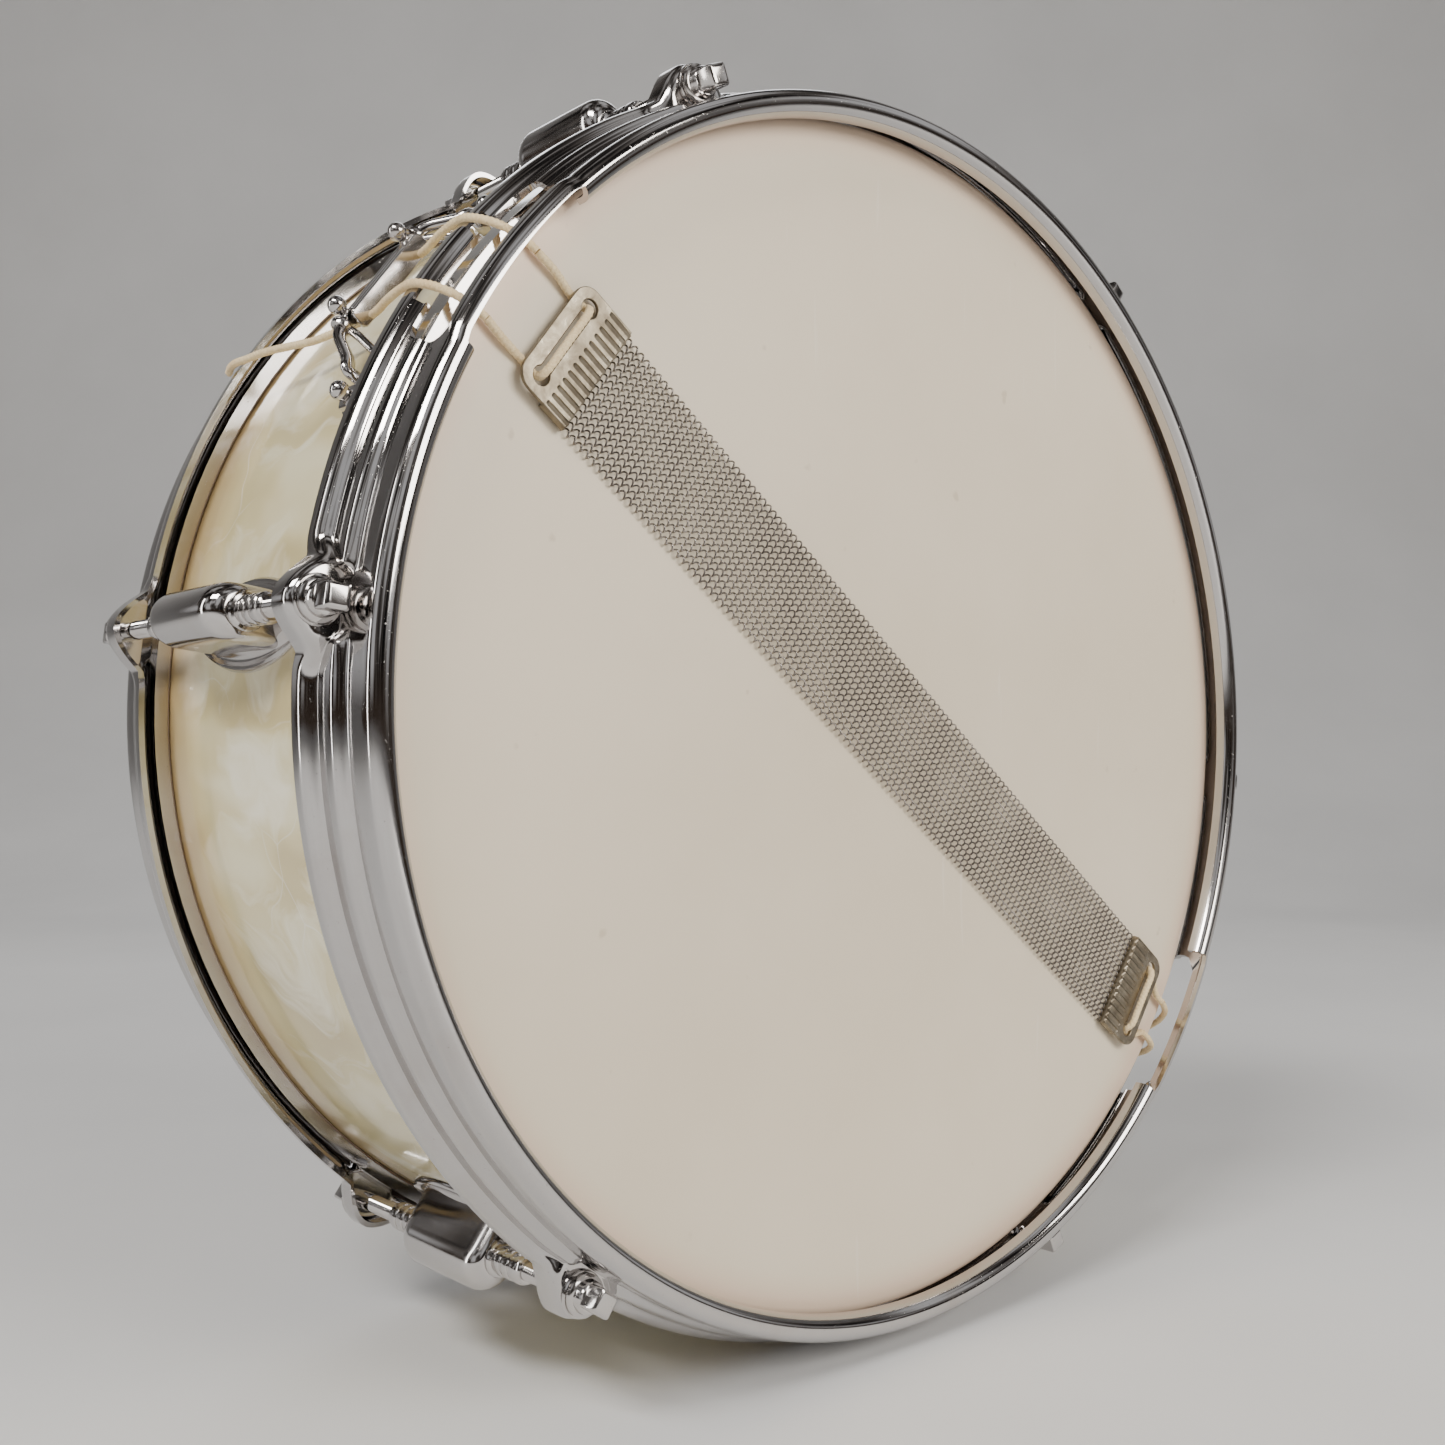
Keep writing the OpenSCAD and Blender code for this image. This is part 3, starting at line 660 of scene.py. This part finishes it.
def sheet_sides(centre):
    """Outer and inner faces of the sheet round its middle line."""
    t = np.gradient(centre, axis=0)
    t /= np.linalg.norm(t, axis=1)[:, None]
    normal = np.stack([-t[:, 1], t[:, 0]], 1)
    return centre - normal * SHEET / 2, centre + normal * SHEET / 2


def gate_columns():
    """Angles close together at a gate's ends, in degrees from its middle, and the angle of its end."""
    end = math.degrees(GATE_HALF / WALL_R)
    inside = np.linspace(-end, end, 61)
    past = end + np.array([0.3, 0.7, 1.2, 1.8])
    return sorted(set(np.round(np.concatenate([inside, past, -past]), 5))), end


def turn_between(angle, other):
    """The turn from one angle to the other in degrees, between -180 and 180."""
    return (angle - other + 180) % 360 - 180


def hoop_angles(gates):
    """Every column's angle, and for each gate the numbers of its first and last column."""
    columns = [a for a in np.arange(0, 360, 0.25)
               if a % 0.5 == 0 or min(abs(turn_between(a, lug)) for lug in LUGS) < 5]
    offsets, end = gate_columns()
    reach = offsets[-1] + 0.25
    for gate in gates:
        columns = [a for a in columns if abs(turn_between(a, gate)) > reach]
        columns += [(gate + o) % 360 for o in offsets]
    columns = sorted(columns)
    found = []
    for gate in gates:
        near = [abs(turn_between(a, gate) + end) for a in columns]
        far = [abs(turn_between(a, gate) - end) for a in columns]
        found.append((int(np.argmin(near)), int(np.argmin(far))))
    return columns, found


def corner_pull(depth):
    """How far a gate's end comes in at this depth, which rounds its corners."""
    r = 5.0
    near = min(depth - GATE_TOP, GATE_LOW - depth)
    if near >= r:
        return 0.0
    return r - math.sqrt(max(r * r - (r - max(near, 0)) ** 2, 0))


def hoop(name, side, gates, node):
    """A pressed hoop: columns of sheet all the way round, each with its outer face, then its inner one."""
    columns, ends = hoop_angles(gates)
    total = len(columns)
    plain = hoop_centre(2 * EAR_HALF)
    n = len(plain)
    first = next(i for i, p in enumerate(plain) if p[1] >= GATE_TOP - 1e-6 and i > 10)
    last = next(i for i, p in enumerate(plain) if p[1] >= GATE_LOW - 1e-6 and i > first)
    deep = next(i for i, p in enumerate(plain) if p[1] >= 23.4 and i > last)
    lip = next(i for i, p in enumerate(plain) if p[0] >= 177.7)
    edge = math.degrees(GATE_HALF / WALL_R)
    points = np.zeros((total, 2 * n, 3))
    for c, angle in enumerate(columns):
        z = min(abs(turn_between(angle, lug)) for lug in LUGS) * math.pi / 180 * ROD_CIRCLE
        centre = hoop_centre(z)
        gate_at = min([turn_between(angle, gate) for gate in gates] + [99.0], key=abs)
        inside = ease((edge + 0.4 - abs(gate_at)) / 1.6)
        centre[lip:first + 1, 0] += 0.7 * inside
        outer, inner = sheet_sides(centre)
        for i in range(n):
            pull = 0.0
            if abs(gate_at) < edge + 2 and first <= i <= last:
                near_end = 1 - min(abs(abs(gate_at) - edge) / 1.9, 1)
                pull = math.copysign(math.degrees(corner_pull(centre[i][1]) / WALL_R), gate_at) * near_end
            a = math.radians(angle - pull)
            for k, (r, d) in ((i, outer[i]), (2 * n - 1 - i, inner[i])):
                points[c, k] = (r * math.cos(a), RIM - d, r * math.sin(a))
    in_gate = np.zeros(total, bool)
    for a, b in ends:
        c = a
        while c != b:
            in_gate[c] = True
            c = (c + 1) % total
    notch = np.zeros(total, bool)
    for c, angle in enumerate(columns):
        for gate in gates:
            off = abs(turn_between(angle, gate)) * math.pi / 180 * FLANGE_R
            notch[c] |= abs(off - CORD_Z) < NOTCH_HALF

    def gone(c, i):
        """True where sheet rows i to i + 1 are cut away in column c."""
        i = i if i < n else 2 * n - 2 - i
        if i < 0 or i >= n - 1:
            return False
        return in_gate[c] and (first <= i < last or i < lip) or notch[c] and last <= i < deep

    def kept(c, k):
        """False for a face that is cut away; the low edge of the sheet is always there."""
        return k == n - 1 or not gone(c, 0 if k == 2 * n - 1 else k)

    def index(c, k):
        return (c % total) * 2 * n + k

    faces = grid_faces(total, 2 * n, True, True, kept)
    for c in range(total):
        cut = [gone(c, i) for i in range(n - 1)]
        for i in range(1, n - 1):
            if cut[i] != cut[i - 1]:
                back = 2 * n - 1 - i
                faces.append((index(c, i), index(c + 1, i), index(c + 1, back), index(c, back)))
        for i in range(n - 1):
            if cut[i] != gone((c - 1) % total, i):
                back = 2 * n - 1 - i
                faces.append((index(c, i), index(c, i + 1), index(c, back - 1), index(c, back)))
    build = Build()
    build.add(points.reshape(-1, 3), faces, station(0) @ side_of(side))
    build.piece(name, CHROME, "drum", (node,), 34)


hoop("snare_hoop_pressed", -1, (STRAINER, BACK_GATE), "snare_hoop")
hoop("batter_hoop_pressed", 1, (), "batter_hoop")


# ---- Heads ----

def head(name, side, node):
    """The film, over the bearing edge and down to its flesh hoop."""
    face = HALF_SHELL + 0.4
    bend = 3.4
    film = 0.35
    outer = 177.6
    profile = [(r, face) for r in (0.01, 30, 60, 90, 120, 140, 155, 165, 170)]
    for a in np.linspace(0, math.pi / 2, 9):
        profile.append((174.2 + bend * math.sin(a), face - bend + bend * math.cos(a)))
    profile.append((outer, 51.5))
    inside = [(r - film if r > 171 else r, h - film) for r, h in reversed(profile)]
    build = Build()
    build.add(*turned(profile + inside, 256), station(0) @ side_of(side))
    build.piece(name, FILM, "drum", (node,), 50)


head("snare_head_film", -1, "snare_head")
head("batter_head_film", 1, "batter_head")


# ---- Lugs, nuts and rods ----

LUG_HALF = 20.5
LUG_WIDE = 7.5
LUG_CREST = 198.0
LEAF_HALF = 36.5
LEAF_WIDE = 12.5
SEAT = COVER_R + 0.1


def lug_barrel(build, place):
    """The casing: a rounded tunnel with softened ends."""
    end = 7.0
    stations = [math.sin(a) for a in np.linspace(-math.pi / 2, math.pi / 2, 25)]
    rows = []
    for s in stations:
        straight = math.copysign(LUG_HALF - end, s) if abs(s) > 0.02 else 0
        y = straight + end * s
        shrink = math.sqrt(max(1 - s * s, 0.0))
        wide = LUG_WIDE - 3.1 * (1 - shrink) ** 1.2
        crest = LUG_CREST - 5.4 * (1 - shrink) ** 1.1
        row = [(SEAT - 0.3, y, -wide)]
        row += [(crest - wide * 1.12 + 1.12 * wide * math.sin(a), y, -wide * math.cos(a))
                for a in np.linspace(0, math.pi, 21)]
        row += [(SEAT - 0.3, y, wide)]
        rows.append(row)
    build.add(*lofted(rows), place)


def lug_leaf(build, place):
    """The casing's foot: a pointed leaf with a flute on each side of the tunnel."""
    circle = (LEAF_HALF ** 2 + LEAF_WIDE ** 2) / (2 * LEAF_WIDE)
    rows = []
    for s in np.linspace(-1, 1, 61):
        y = LEAF_HALF * s
        half = max(math.sqrt(circle ** 2 - y * y) - circle + LEAF_WIDE, 0.05)
        row = []
        for u in np.linspace(-1, 1, 41):
            z = u * half
            seat = math.sqrt(SEAT ** 2 - z * z)
            rise = 1.5 + 2.9 * (1 - abs(u)) ** 0.8 * min(half / LEAF_WIDE * 1.3, 1)
            flute = 1.5 * math.exp(-((abs(z) - 0.74 * half) / (0.12 * half + 0.2)) ** 2)
            round_off = 1.0 * ease((abs(u) - 0.93) / 0.07)
            row.append((seat + rise - flute - round_off, y, z))
        row += [(math.sqrt(SEAT ** 2 - (u * half) ** 2) - 0.1, y, u * half) for u in np.linspace(1, -1, 9)]
        rows.append(row)
    build.add(*lofted(rows), place)


def add_lugs():
    for i, angle in enumerate(LUGS):
        build = Build()
        lug_barrel(build, station(angle))
        lug_leaf(build, station(angle))
        build.piece(f"lug_casing_{i + 1}", BRIGHT, "drum", (f"lug_{i + 1}",), 38)


def add_swivel_nuts():
    profile = [(4.8, 17), (4.8, 20.4), (5.0, 21.2), (4.7, 21.9), (3.7, 22.2)]
    for y in (22.6, 26.4, 30.2):
        profile += [(3.75, y), (4.05, y + 0.25), (4.1, y + 0.6)]
        profile += [(4.1, y + 2.2), (4.05, y + 2.55), (3.75, y + 2.8)]
    profile += [(3.6, 33.3), (3.6, 34.2), (3.2, 34.6), (2.9, 34.6)]
    build = Build()
    for angle in LUGS:
        for side in (-1, 1):
            build.add(*turned(profile, 40, centre=(ROD_CIRCLE, 0, 0)), station(angle) @ side_of(side))
    build.piece("swivel_nut_turnings", BRIGHT, "drum", ("swivel_nuts",), 32)


def thread(start, end, r, pitch, depth):
    """A screw thread round y, at the rod circle."""
    sides = 20
    count = int((end - start) / pitch * 6)
    rows = []
    for i in range(count + 1):
        y = start + (end - start) * i / count
        fade = min((y - start) / pitch, (end - y) / pitch, 1)
        row = []
        for k in range(sides):
            wave = abs(((y / pitch - k / sides) % 1) * 2 - 1)
            radius = r - depth * wave * max(fade, 0)
            a = 2 * math.pi * k / sides
            row.append((ROD_CIRCLE + radius * math.cos(a), y, radius * math.sin(a)))
        rows.append(row)
    return lofted(rows)


def square_head(low, high, side):
    """The key's square: a little pillowed, with its corners and top edge taken off."""
    outline = []
    half = side / 2
    cut = 0.75
    corner = arc((half - cut, half - cut), cut, 0, 90, 3)
    for k in range(4):
        c, s = math.cos(math.radians(90 * k)), math.sin(math.radians(90 * k))
        outline += [(x * c - z * s, x * s + z * c) for x, z in corner]
    levels = ((low, 1.0), (high - 0.9, 1.0), (high - 0.45, 0.95), (high - 0.1, 0.82), (high, 0.62))
    return lofted([[(ROD_CIRCLE + x * f, y, z * f) for x, z in outline] for y, f in levels])


WASHER = 1.2
HEAD_SEAT = RIM - (EAR_TOP - WASHER - 0.05)


def add_rods():
    seat = HEAD_SEAT
    collar = [(5.2, seat), (5.6, seat + 0.25), (5.6, seat + 1.15), (5.2, seat + 1.5), (4.5, seat + 1.7),
              (4.3, seat + 2.3), (4.25, seat + 3.5), (3.9, seat + 4.1), (3.2, seat + 4.35)]
    for side, letter in ((1, "b"), (-1, "s")):
        for i, angle in enumerate(LUGS):
            place = station(angle) @ side_of(side)
            build = Build()
            build.add(*thread(12, 50, 2.7, 0.9, 0.36), place)
            build.add(*turned([(2.66, 50), (2.66, seat + 0.4)], 32, centre=(ROD_CIRCLE, 0, 0)), place)
            build.add(*turned(collar, 44, centre=(ROD_CIRCLE, 0, 0)), place)
            build.add(*square_head(seat + 4.2, seat + 9.7, 6.3), place)
            node = f"rod_{letter}{i + 1}"
            build.piece(f"{node}_threaded", BRIGHT, node, (node,), 30)


def add_rod_washers():
    low = RIM - EAR_TOP
    high = low + WASHER
    profile = [(3.1, low), (5.9, low), (6.1, low + 0.3), (6.1, high - 0.3), (5.8, high), (3.1, high),
               (3.1, low)]
    ring = turned(profile, 44, centre=(ROD_CIRCLE, 0, 0), caps=False)
    for side, name in ((1, "batter"), (-1, "snare")):
        build = Build()
        for angle in LUGS:
            build.add(*ring, station(angle) @ side_of(side))
        build.piece(f"{name}_washer_rings", BRIGHT, "drum", (f"{name}_rod_washers",), 32)


add_lugs()
add_swivel_nuts()
add_rods()
add_rod_washers()


# ---- Strainer ----

BAR_X, BAR_Y = 187.0, -18.5
BAR_HALF = 16.4
BALL_Z = 14.4
FOOT_TURN = 11.3
FOOT_Y = -27.0


def mirror_z(side):
    return Matrix.Identity(4) if side > 0 else Matrix.Scale(-1, 4, (0, 0, 1))


def ball(x, r, neck):
    """A round screw head on a neck, standing out along x."""
    rows = [(neck, x - r * 1.25), (neck, x - r * 0.9)]
    rows += [(r * math.sin(a), x - r * math.cos(a)) for a in np.linspace(0.45, math.pi - 0.05, 14)]
    return turned(rows, 28, axis="x")


def add_bracket():
    build = Build()
    for side in (-1, 1):
        place = station(STRAINER) @ mirror_z(side)
        a = math.radians(FOOT_TURN)
        foot = (SEAT * math.cos(a), SEAT * math.sin(a))
        arm = [(BAR_X, BAR_Y, BAR_HALF + 0.9), (BAR_X - 0.3, BAR_Y - 0.8, BAR_HALF + 3.2),
               (185.9, -20.4, BAR_HALF + 5.4), (184.1, -22.8, BAR_HALF + 8), (182.2, -25.2, BAR_HALF + 10.8),
               (181, -26.8, BAR_HALF + 13.6), (foot[0] + 2.2, FOOT_Y - 0.6, foot[1] - 4.4),
               (foot[0] + 1.5, FOOT_Y - 0.2, foot[1] - 0.5)]
        line, along = evenly(smooth(arm, 8), 0.7)
        build.add(*tube(line, along, 2.0, 20, 0.72), place)
        leg = [(BAR_X - 1.6, BAR_Y - 2, BAR_HALF + 1.4), (183.4, -24.6, 19.6), (180.4, -29.6, 22.2),
               (179.4, -32, 23.2)]
        line, along = evenly(smooth(leg, 8), 0.7)
        build.add(*tube(line, along, 1.25, 14, 0.8), place)
        eye = [(2.3, BAR_HALF + 0.3), (3.0, BAR_HALF + 0.5), (3.15, BAR_HALF + 1.3), (2.9, BAR_HALF + 2.3),
               (2.0, BAR_HALF + 2.6)]
        build.add(*turned(eye, 32, axis="z", centre=(BAR_X, BAR_Y, 0)), place)
        turn = station(STRAINER + side * FOOT_TURN) @ Matrix.Translation((0, FOOT_Y, 0))
        disc = [(4.6, SEAT), (5.0, SEAT + 0.3), (5.0, SEAT + 1.6), (4.6, SEAT + 2)]
        build.add(*turned(disc, 36, axis="x"), turn)
    build.piece("strainer_arms_bent", BRIGHT, "drum", ("strainer_bracket",), 34)


def add_feet():
    screws = Build()
    nuts = Build()
    for side in (-1, 1):
        place = station(STRAINER + side * FOOT_TURN) @ Matrix.Translation((0, FOOT_Y, 0))
        screws.add(*turned([(1.6, SEAT - 5), (1.6, SEAT + 5)], 20, axis="x"), place)
        screws.add(*ball(SEAT + 6.2, 2.6, 1.8), place)
        hexagon = arc((0, 0), 4.0, 0, 300, 5)
        levels = ((SEAT + 2.05, 0.9), (SEAT + 2.3, 1.0), (SEAT + 3.7, 1.0), (SEAT + 4.05, 0.88))
        nuts.add(*lofted([[(x, a * f, b * f) for a, b in hexagon] for x, f in levels]), place)
    screws.piece("foot_screw_balls", BRIGHT, "drum", ("strainer_foot_screws",), 34)
    nuts.piece("foot_hex_nuts", BRIGHT, "drum", ("strainer_foot_nuts",), 20)


def add_throw_off():
    bar = Build()
    place = station(STRAINER) @ Matrix.Translation((BAR_X, BAR_Y, 0))
    flat = [(1.9 * math.cos(a) * (1.0 if abs(math.cos(a)) < 0.8 else 0.9), 1.9 * math.sin(a)) for a in
            np.linspace(0, 2 * math.pi, 33)[:-1]]
    levels = ((-BAR_HALF, 0.8), (-BAR_HALF + 0.35, 1), (BAR_HALF - 0.35, 1), (BAR_HALF, 0.8))
    bar.add(*lofted([[(x * f, y * f, z) for x, y in flat] for z, f in levels]), place)
    pins = [(1.1, -BAR_HALF - 3.3), (1.5, -BAR_HALF - 3.0), (1.5, BAR_HALF + 3.0), (1.1, BAR_HALF + 3.3)]
    bar.add(*turned(pins, 24, axis="z"), place)
    for z in (-BALL_Z, BALL_Z):
        bar.add(*turned([(2.1, -2.7), (2.3, -2.4), (2.3, 0)], 24, centre=(0, 0, z)), place)
    bar.piece("strainer_bar_round", BRIGHT, "throw_off", ("strainer_crossbar",), 34)
    clamp = Build()
    outline = rounded_box(184.6, 187.2, BAR_HALF - 0.4 - 1.5, 1.5)
    clamp.add(*plate_mesh(outline, [], 1.4, 0.3), station(STRAINER) @ Matrix.Translation((0, -23.8, 0)))
    clamp.piece("strainer_clamp_plate", BRIGHT, "throw_off", ("strainer_clamp",), 34)
    screws = Build()
    for z in (-BALL_Z, BALL_Z):
        spot = station(STRAINER) @ Matrix.Translation((0, BAR_Y, z))
        screws.add(*turned([(0.9, 184.6), (0.9, 190)], 16, axis="x"), spot)
        screws.add(*ball(191.4, 2.5, 1.5), spot)
    screws.piece("strainer_clamp_balls", BRIGHT, "throw_off", ("strainer_clamp_screws",), 34)


add_bracket()
add_feet()
add_throw_off()


# ---- Butt end ----

BUTT_SCREWS = (-23.5, -33)


def add_butt():
    place = station(BUTT)
    base = Build()
    turns = [math.radians(a) for a in np.linspace(-4.5, 4.5, 15)]
    rows = []
    for y, f in ((-41, 0.9), (-40.4, 1), (-16.6, 1), (-16, 0.9)):
        top = COVER_R + 1.7 - (1 - f) * 3
        row = [(top * math.cos(a * f), y, COVER_R * math.sin(a * f)) for a in turns]
        row += [((COVER_R + 0.1) * math.cos(a * f), y, COVER_R * math.sin(a * f)) for a in reversed(turns)]
        rows.append(row)
    base.add(*lofted(rows), place)
    base.piece("butt_base_bent", BRIGHT, "drum", ("butt_base",), 34)
    clamp = Build()
    upright = place @ Matrix.Translation((181.2, 0, 0)) @ Matrix.Rotation(math.radians(-90), 4, "Z")
    clamp.add(*plate_mesh(rounded_box(21, 35.5, 9.5, 1.5), [], 1.4, 0.3), upright)
    for z in (-9, 9):
        for y in (-34, -24):
            clamp.add(*turned([(1.0, COVER_R + 1.7), (1.0, 181.4)], 16, axis="x", centre=(0, y, z)), place)
    clamp.piece("butt_clamp_plate", BRIGHT, "drum", ("butt_clamp",), 34)
    screws = Build()
    for y in BUTT_SCREWS:
        screws.add(*turned([(1.6, 171), (1.6, 182.7), (3.4, 182.7), (3.4, 183.2), (3.0, 184.0), (1.8, 184.5),
                            (0.2, 184.6)], 28, axis="x", centre=(0, y, 0)), place)
    screws.piece("butt_screw_domes", BRIGHT, "drum", ("butt_screws",), 34)


add_butt()


# ---- Snares ----

FACE_Y = -HALF_SHELL - 0.4
WIRE_R = 1.0
WIRE_Y = FACE_Y - WIRE_R - 0.1
PLATE_Y = WIRE_Y - 1.3
PLATE_HALF = 17.5
WIRES = 16
WIRE_PITCH = 2.2
RIBS = 13
CRIMP = 8.6


def snare_plate(name, end, start, node):
    """A flat tongue with the cord's slot, and the ribbed sleeve that holds the wires' ends."""
    build = Build()
    place = snare_line(end)
    length, corner = PLATE_LENGTH, 5
    outline = ([(0.4, -PLATE_HALF), (length - corner, -PLATE_HALF)]
               + arc((length - corner, -PLATE_HALF + corner), corner, -90, 0, 8)
               + arc((length - corner, PLATE_HALF - corner), corner, 0, 90, 8) + [(0.4, PLATE_HALF)])
    r = 2.5
    middle = SLOT_IN + SLOT_WIDTH / 2
    reach = math.degrees(math.asin(SLOT_WIDTH / 2 / r))
    slot = (arc((middle, -SLOT_HALF), r, 90 - reach, 90 + reach - 360, 18)[::-1]
            + arc((middle, SLOT_HALF), r, 270 - reach, 270 + reach - 360, 18)[::-1])
    build.add(*plate_mesh(outline, [slot], 1.1, 0.25), place @ Matrix.Translation((start, PLATE_Y - 1.1, 0)))
    rows = []
    pitch = 2 * PLATE_HALF / RIBS
    xs = [0, 0.2, 0.7, 2.4, 4, 6, 7.6, 8.2, 8.5, 8.6]
    drop = [0.7, 0.2, 0.0, 0.0, 0.0, 0.0, 0.0, 0.12, 0.5, 1.3]
    steps = RIBS * 10
    for x, d in zip(xs, drop):
        row = []
        for k in range(steps + 1):
            z = -PLATE_HALF + 2 * PLATE_HALF * k / steps
            wave = 1 - abs(2 * (((z + PLATE_HALF) / pitch) % 1) - 1)
            edge = 0.5 * ease((abs(z) - PLATE_HALF + 0.7) / 0.7)
            row.append((x, -1.6 + d + 0.85 * (1 - wave) + edge, z))
        row += [(x, 1.35, PLATE_HALF), (x, 1.35, -PLATE_HALF)]
        rows.append(row)
    build.add(*lofted(rows), place @ Matrix.Translation((start, PLATE_Y, 0)))
    build.piece(name, NICKEL, "snares", (node,), 40)


def add_wires():
    """Coiled strands, all wound the same way and in step."""
    build = Build()
    wire, pitch, steps = 0.27, 2.5, 12
    coil = WIRE_R - wire
    length = FRONT_PLATE + BACK_PLATE
    turns = length / pitch
    t = np.arange(int(turns * steps) + 1) / steps
    for k in range(WIRES):
        z0 = (k - (WIRES - 1) / 2) * WIRE_PITCH
        a = 2 * math.pi * t
        line = np.stack([-BACK_PLATE + 0.1 + t * pitch, WIRE_Y + coil * np.cos(a), z0 + coil * np.sin(a)], 1)
        build.add(*tube(line, t, wire, 5), snare_line(1))
    build.piece("snare_coils", STEEL, "snares", ("snare_wires",), 80)


snare_plate("front_plate_crimped", 1, FRONT_PLATE, "snare_plate_front")
snare_plate("back_plate_crimped", -1, BACK_PLATE, "snare_plate_back")
add_wires()


# ---- CAD nodes that stay, with their looks ----

KEPT = {"shell": MAPLE, "batter_ring": MAPLE, "snare_ring": MAPLE, "pearl_cover": PEARL,
        "vent_grommet": BRASS, "batter_flesh_hoop": CHROME, "snare_flesh_hoop": CHROME,
        "lug_screws": BRIGHT, "lug_screw_washers": BRIGHT}

for node, look in KEPT.items():
    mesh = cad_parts[node].data
    mesh.materials.clear()
    mesh.materials.append(look)


# ---- Floor and light ----

def add_floor():
    made, tree, link = material("floor_paper", roughness=0.75)
    place = stretched(tree)
    link("Base Color", ramp(tree, noise(tree, place, 3, 5), (0.3, 0.62), (0.7, 0.68)))
    mesh = bpy.data.meshes.new("floor")
    size = 6.0
    rows = [(-size, 0.0), (1.2, 0.0)]
    rows += [(1.2 + 1.2 * math.sin(a), 1.2 - 1.2 * math.cos(a)) for a in np.linspace(0.1, math.pi / 2, 12)]
    rows += [(2.4, 4.0)]
    turn = Matrix.Rotation(math.radians(48.5), 4, "Z")
    points = [turn @ Vector((x, side * size, z)) for x, z in rows for side in (-1, 1)]
    mesh.from_pydata(points, [], [(2 * i, 2 * i + 2, 2 * i + 3, 2 * i + 1) for i in range(len(rows) - 1)])
    mesh.polygons.foreach_set("use_smooth", [True] * len(mesh.polygons))
    mesh.materials.append(made)
    floor = bpy.data.objects.new("floor", mesh)
    bpy.context.scene.collection.objects.link(floor)


def add_light(name, place, size, power, colour):
    data = bpy.data.lights.new(name, "AREA")
    data.shape = "RECTANGLE"
    data.size, data.size_y = size
    data.energy = power
    data.color = colour
    light = bpy.data.objects.new(name, data)
    bpy.context.scene.collection.objects.link(light)
    place = Vector(place)
    aim = Vector((0, 0, AXIS_Z)) - place
    light.location = place
    light.rotation_euler = aim.to_track_quat("-Z", "Y").to_euler()


add_floor()
add_light("key", (-1.5, -0.4, 1.7), (1.1, 0.5), 42, (1.0, 0.97, 0.93))
add_light("front", (0.4, -1.7, 0.9), (1.2, 0.8), 32, (1.0, 0.96, 0.90))
add_light("side", (-1.7, 1.0, 0.5), (0.18, 1.6), 9, (1.0, 0.98, 0.95))
add_light("back", (0.9, 1.3, 1.4), (0.8, 0.8), 6, (0.93, 0.96, 1.0))


def add_world():
    """A dim room for the plating to mirror: soft dark and pale patches, warm and dark towards the ground."""
    world = bpy.data.worlds.new("studio")
    world.use_nodes = True
    tree = world.node_tree
    way = add_node(tree, "ShaderNodeTexCoord").outputs["Generated"]
    patch = noise(tree, way, 2.6, 2, 0.5)
    room = ramp(tree, patch, (0.40, (0.012, 0.011, 0.011)), (0.50, (0.14, 0.125, 0.115)),
                (0.62, (0.75, 0.75, 0.76)))
    up = add_node(tree, "ShaderNodeSeparateXYZ", {0: way}).outputs[2]
    low = ramp(tree, up, (0.0, 1.0), (0.12, 0.0))
    background = tree.nodes["Background"]
    tree.links.new(mix(tree, low, room, (0.05, 0.033, 0.022)), background.inputs[0])
    background.inputs[1].default_value = 0.8
    bpy.context.scene.world = world


add_world()
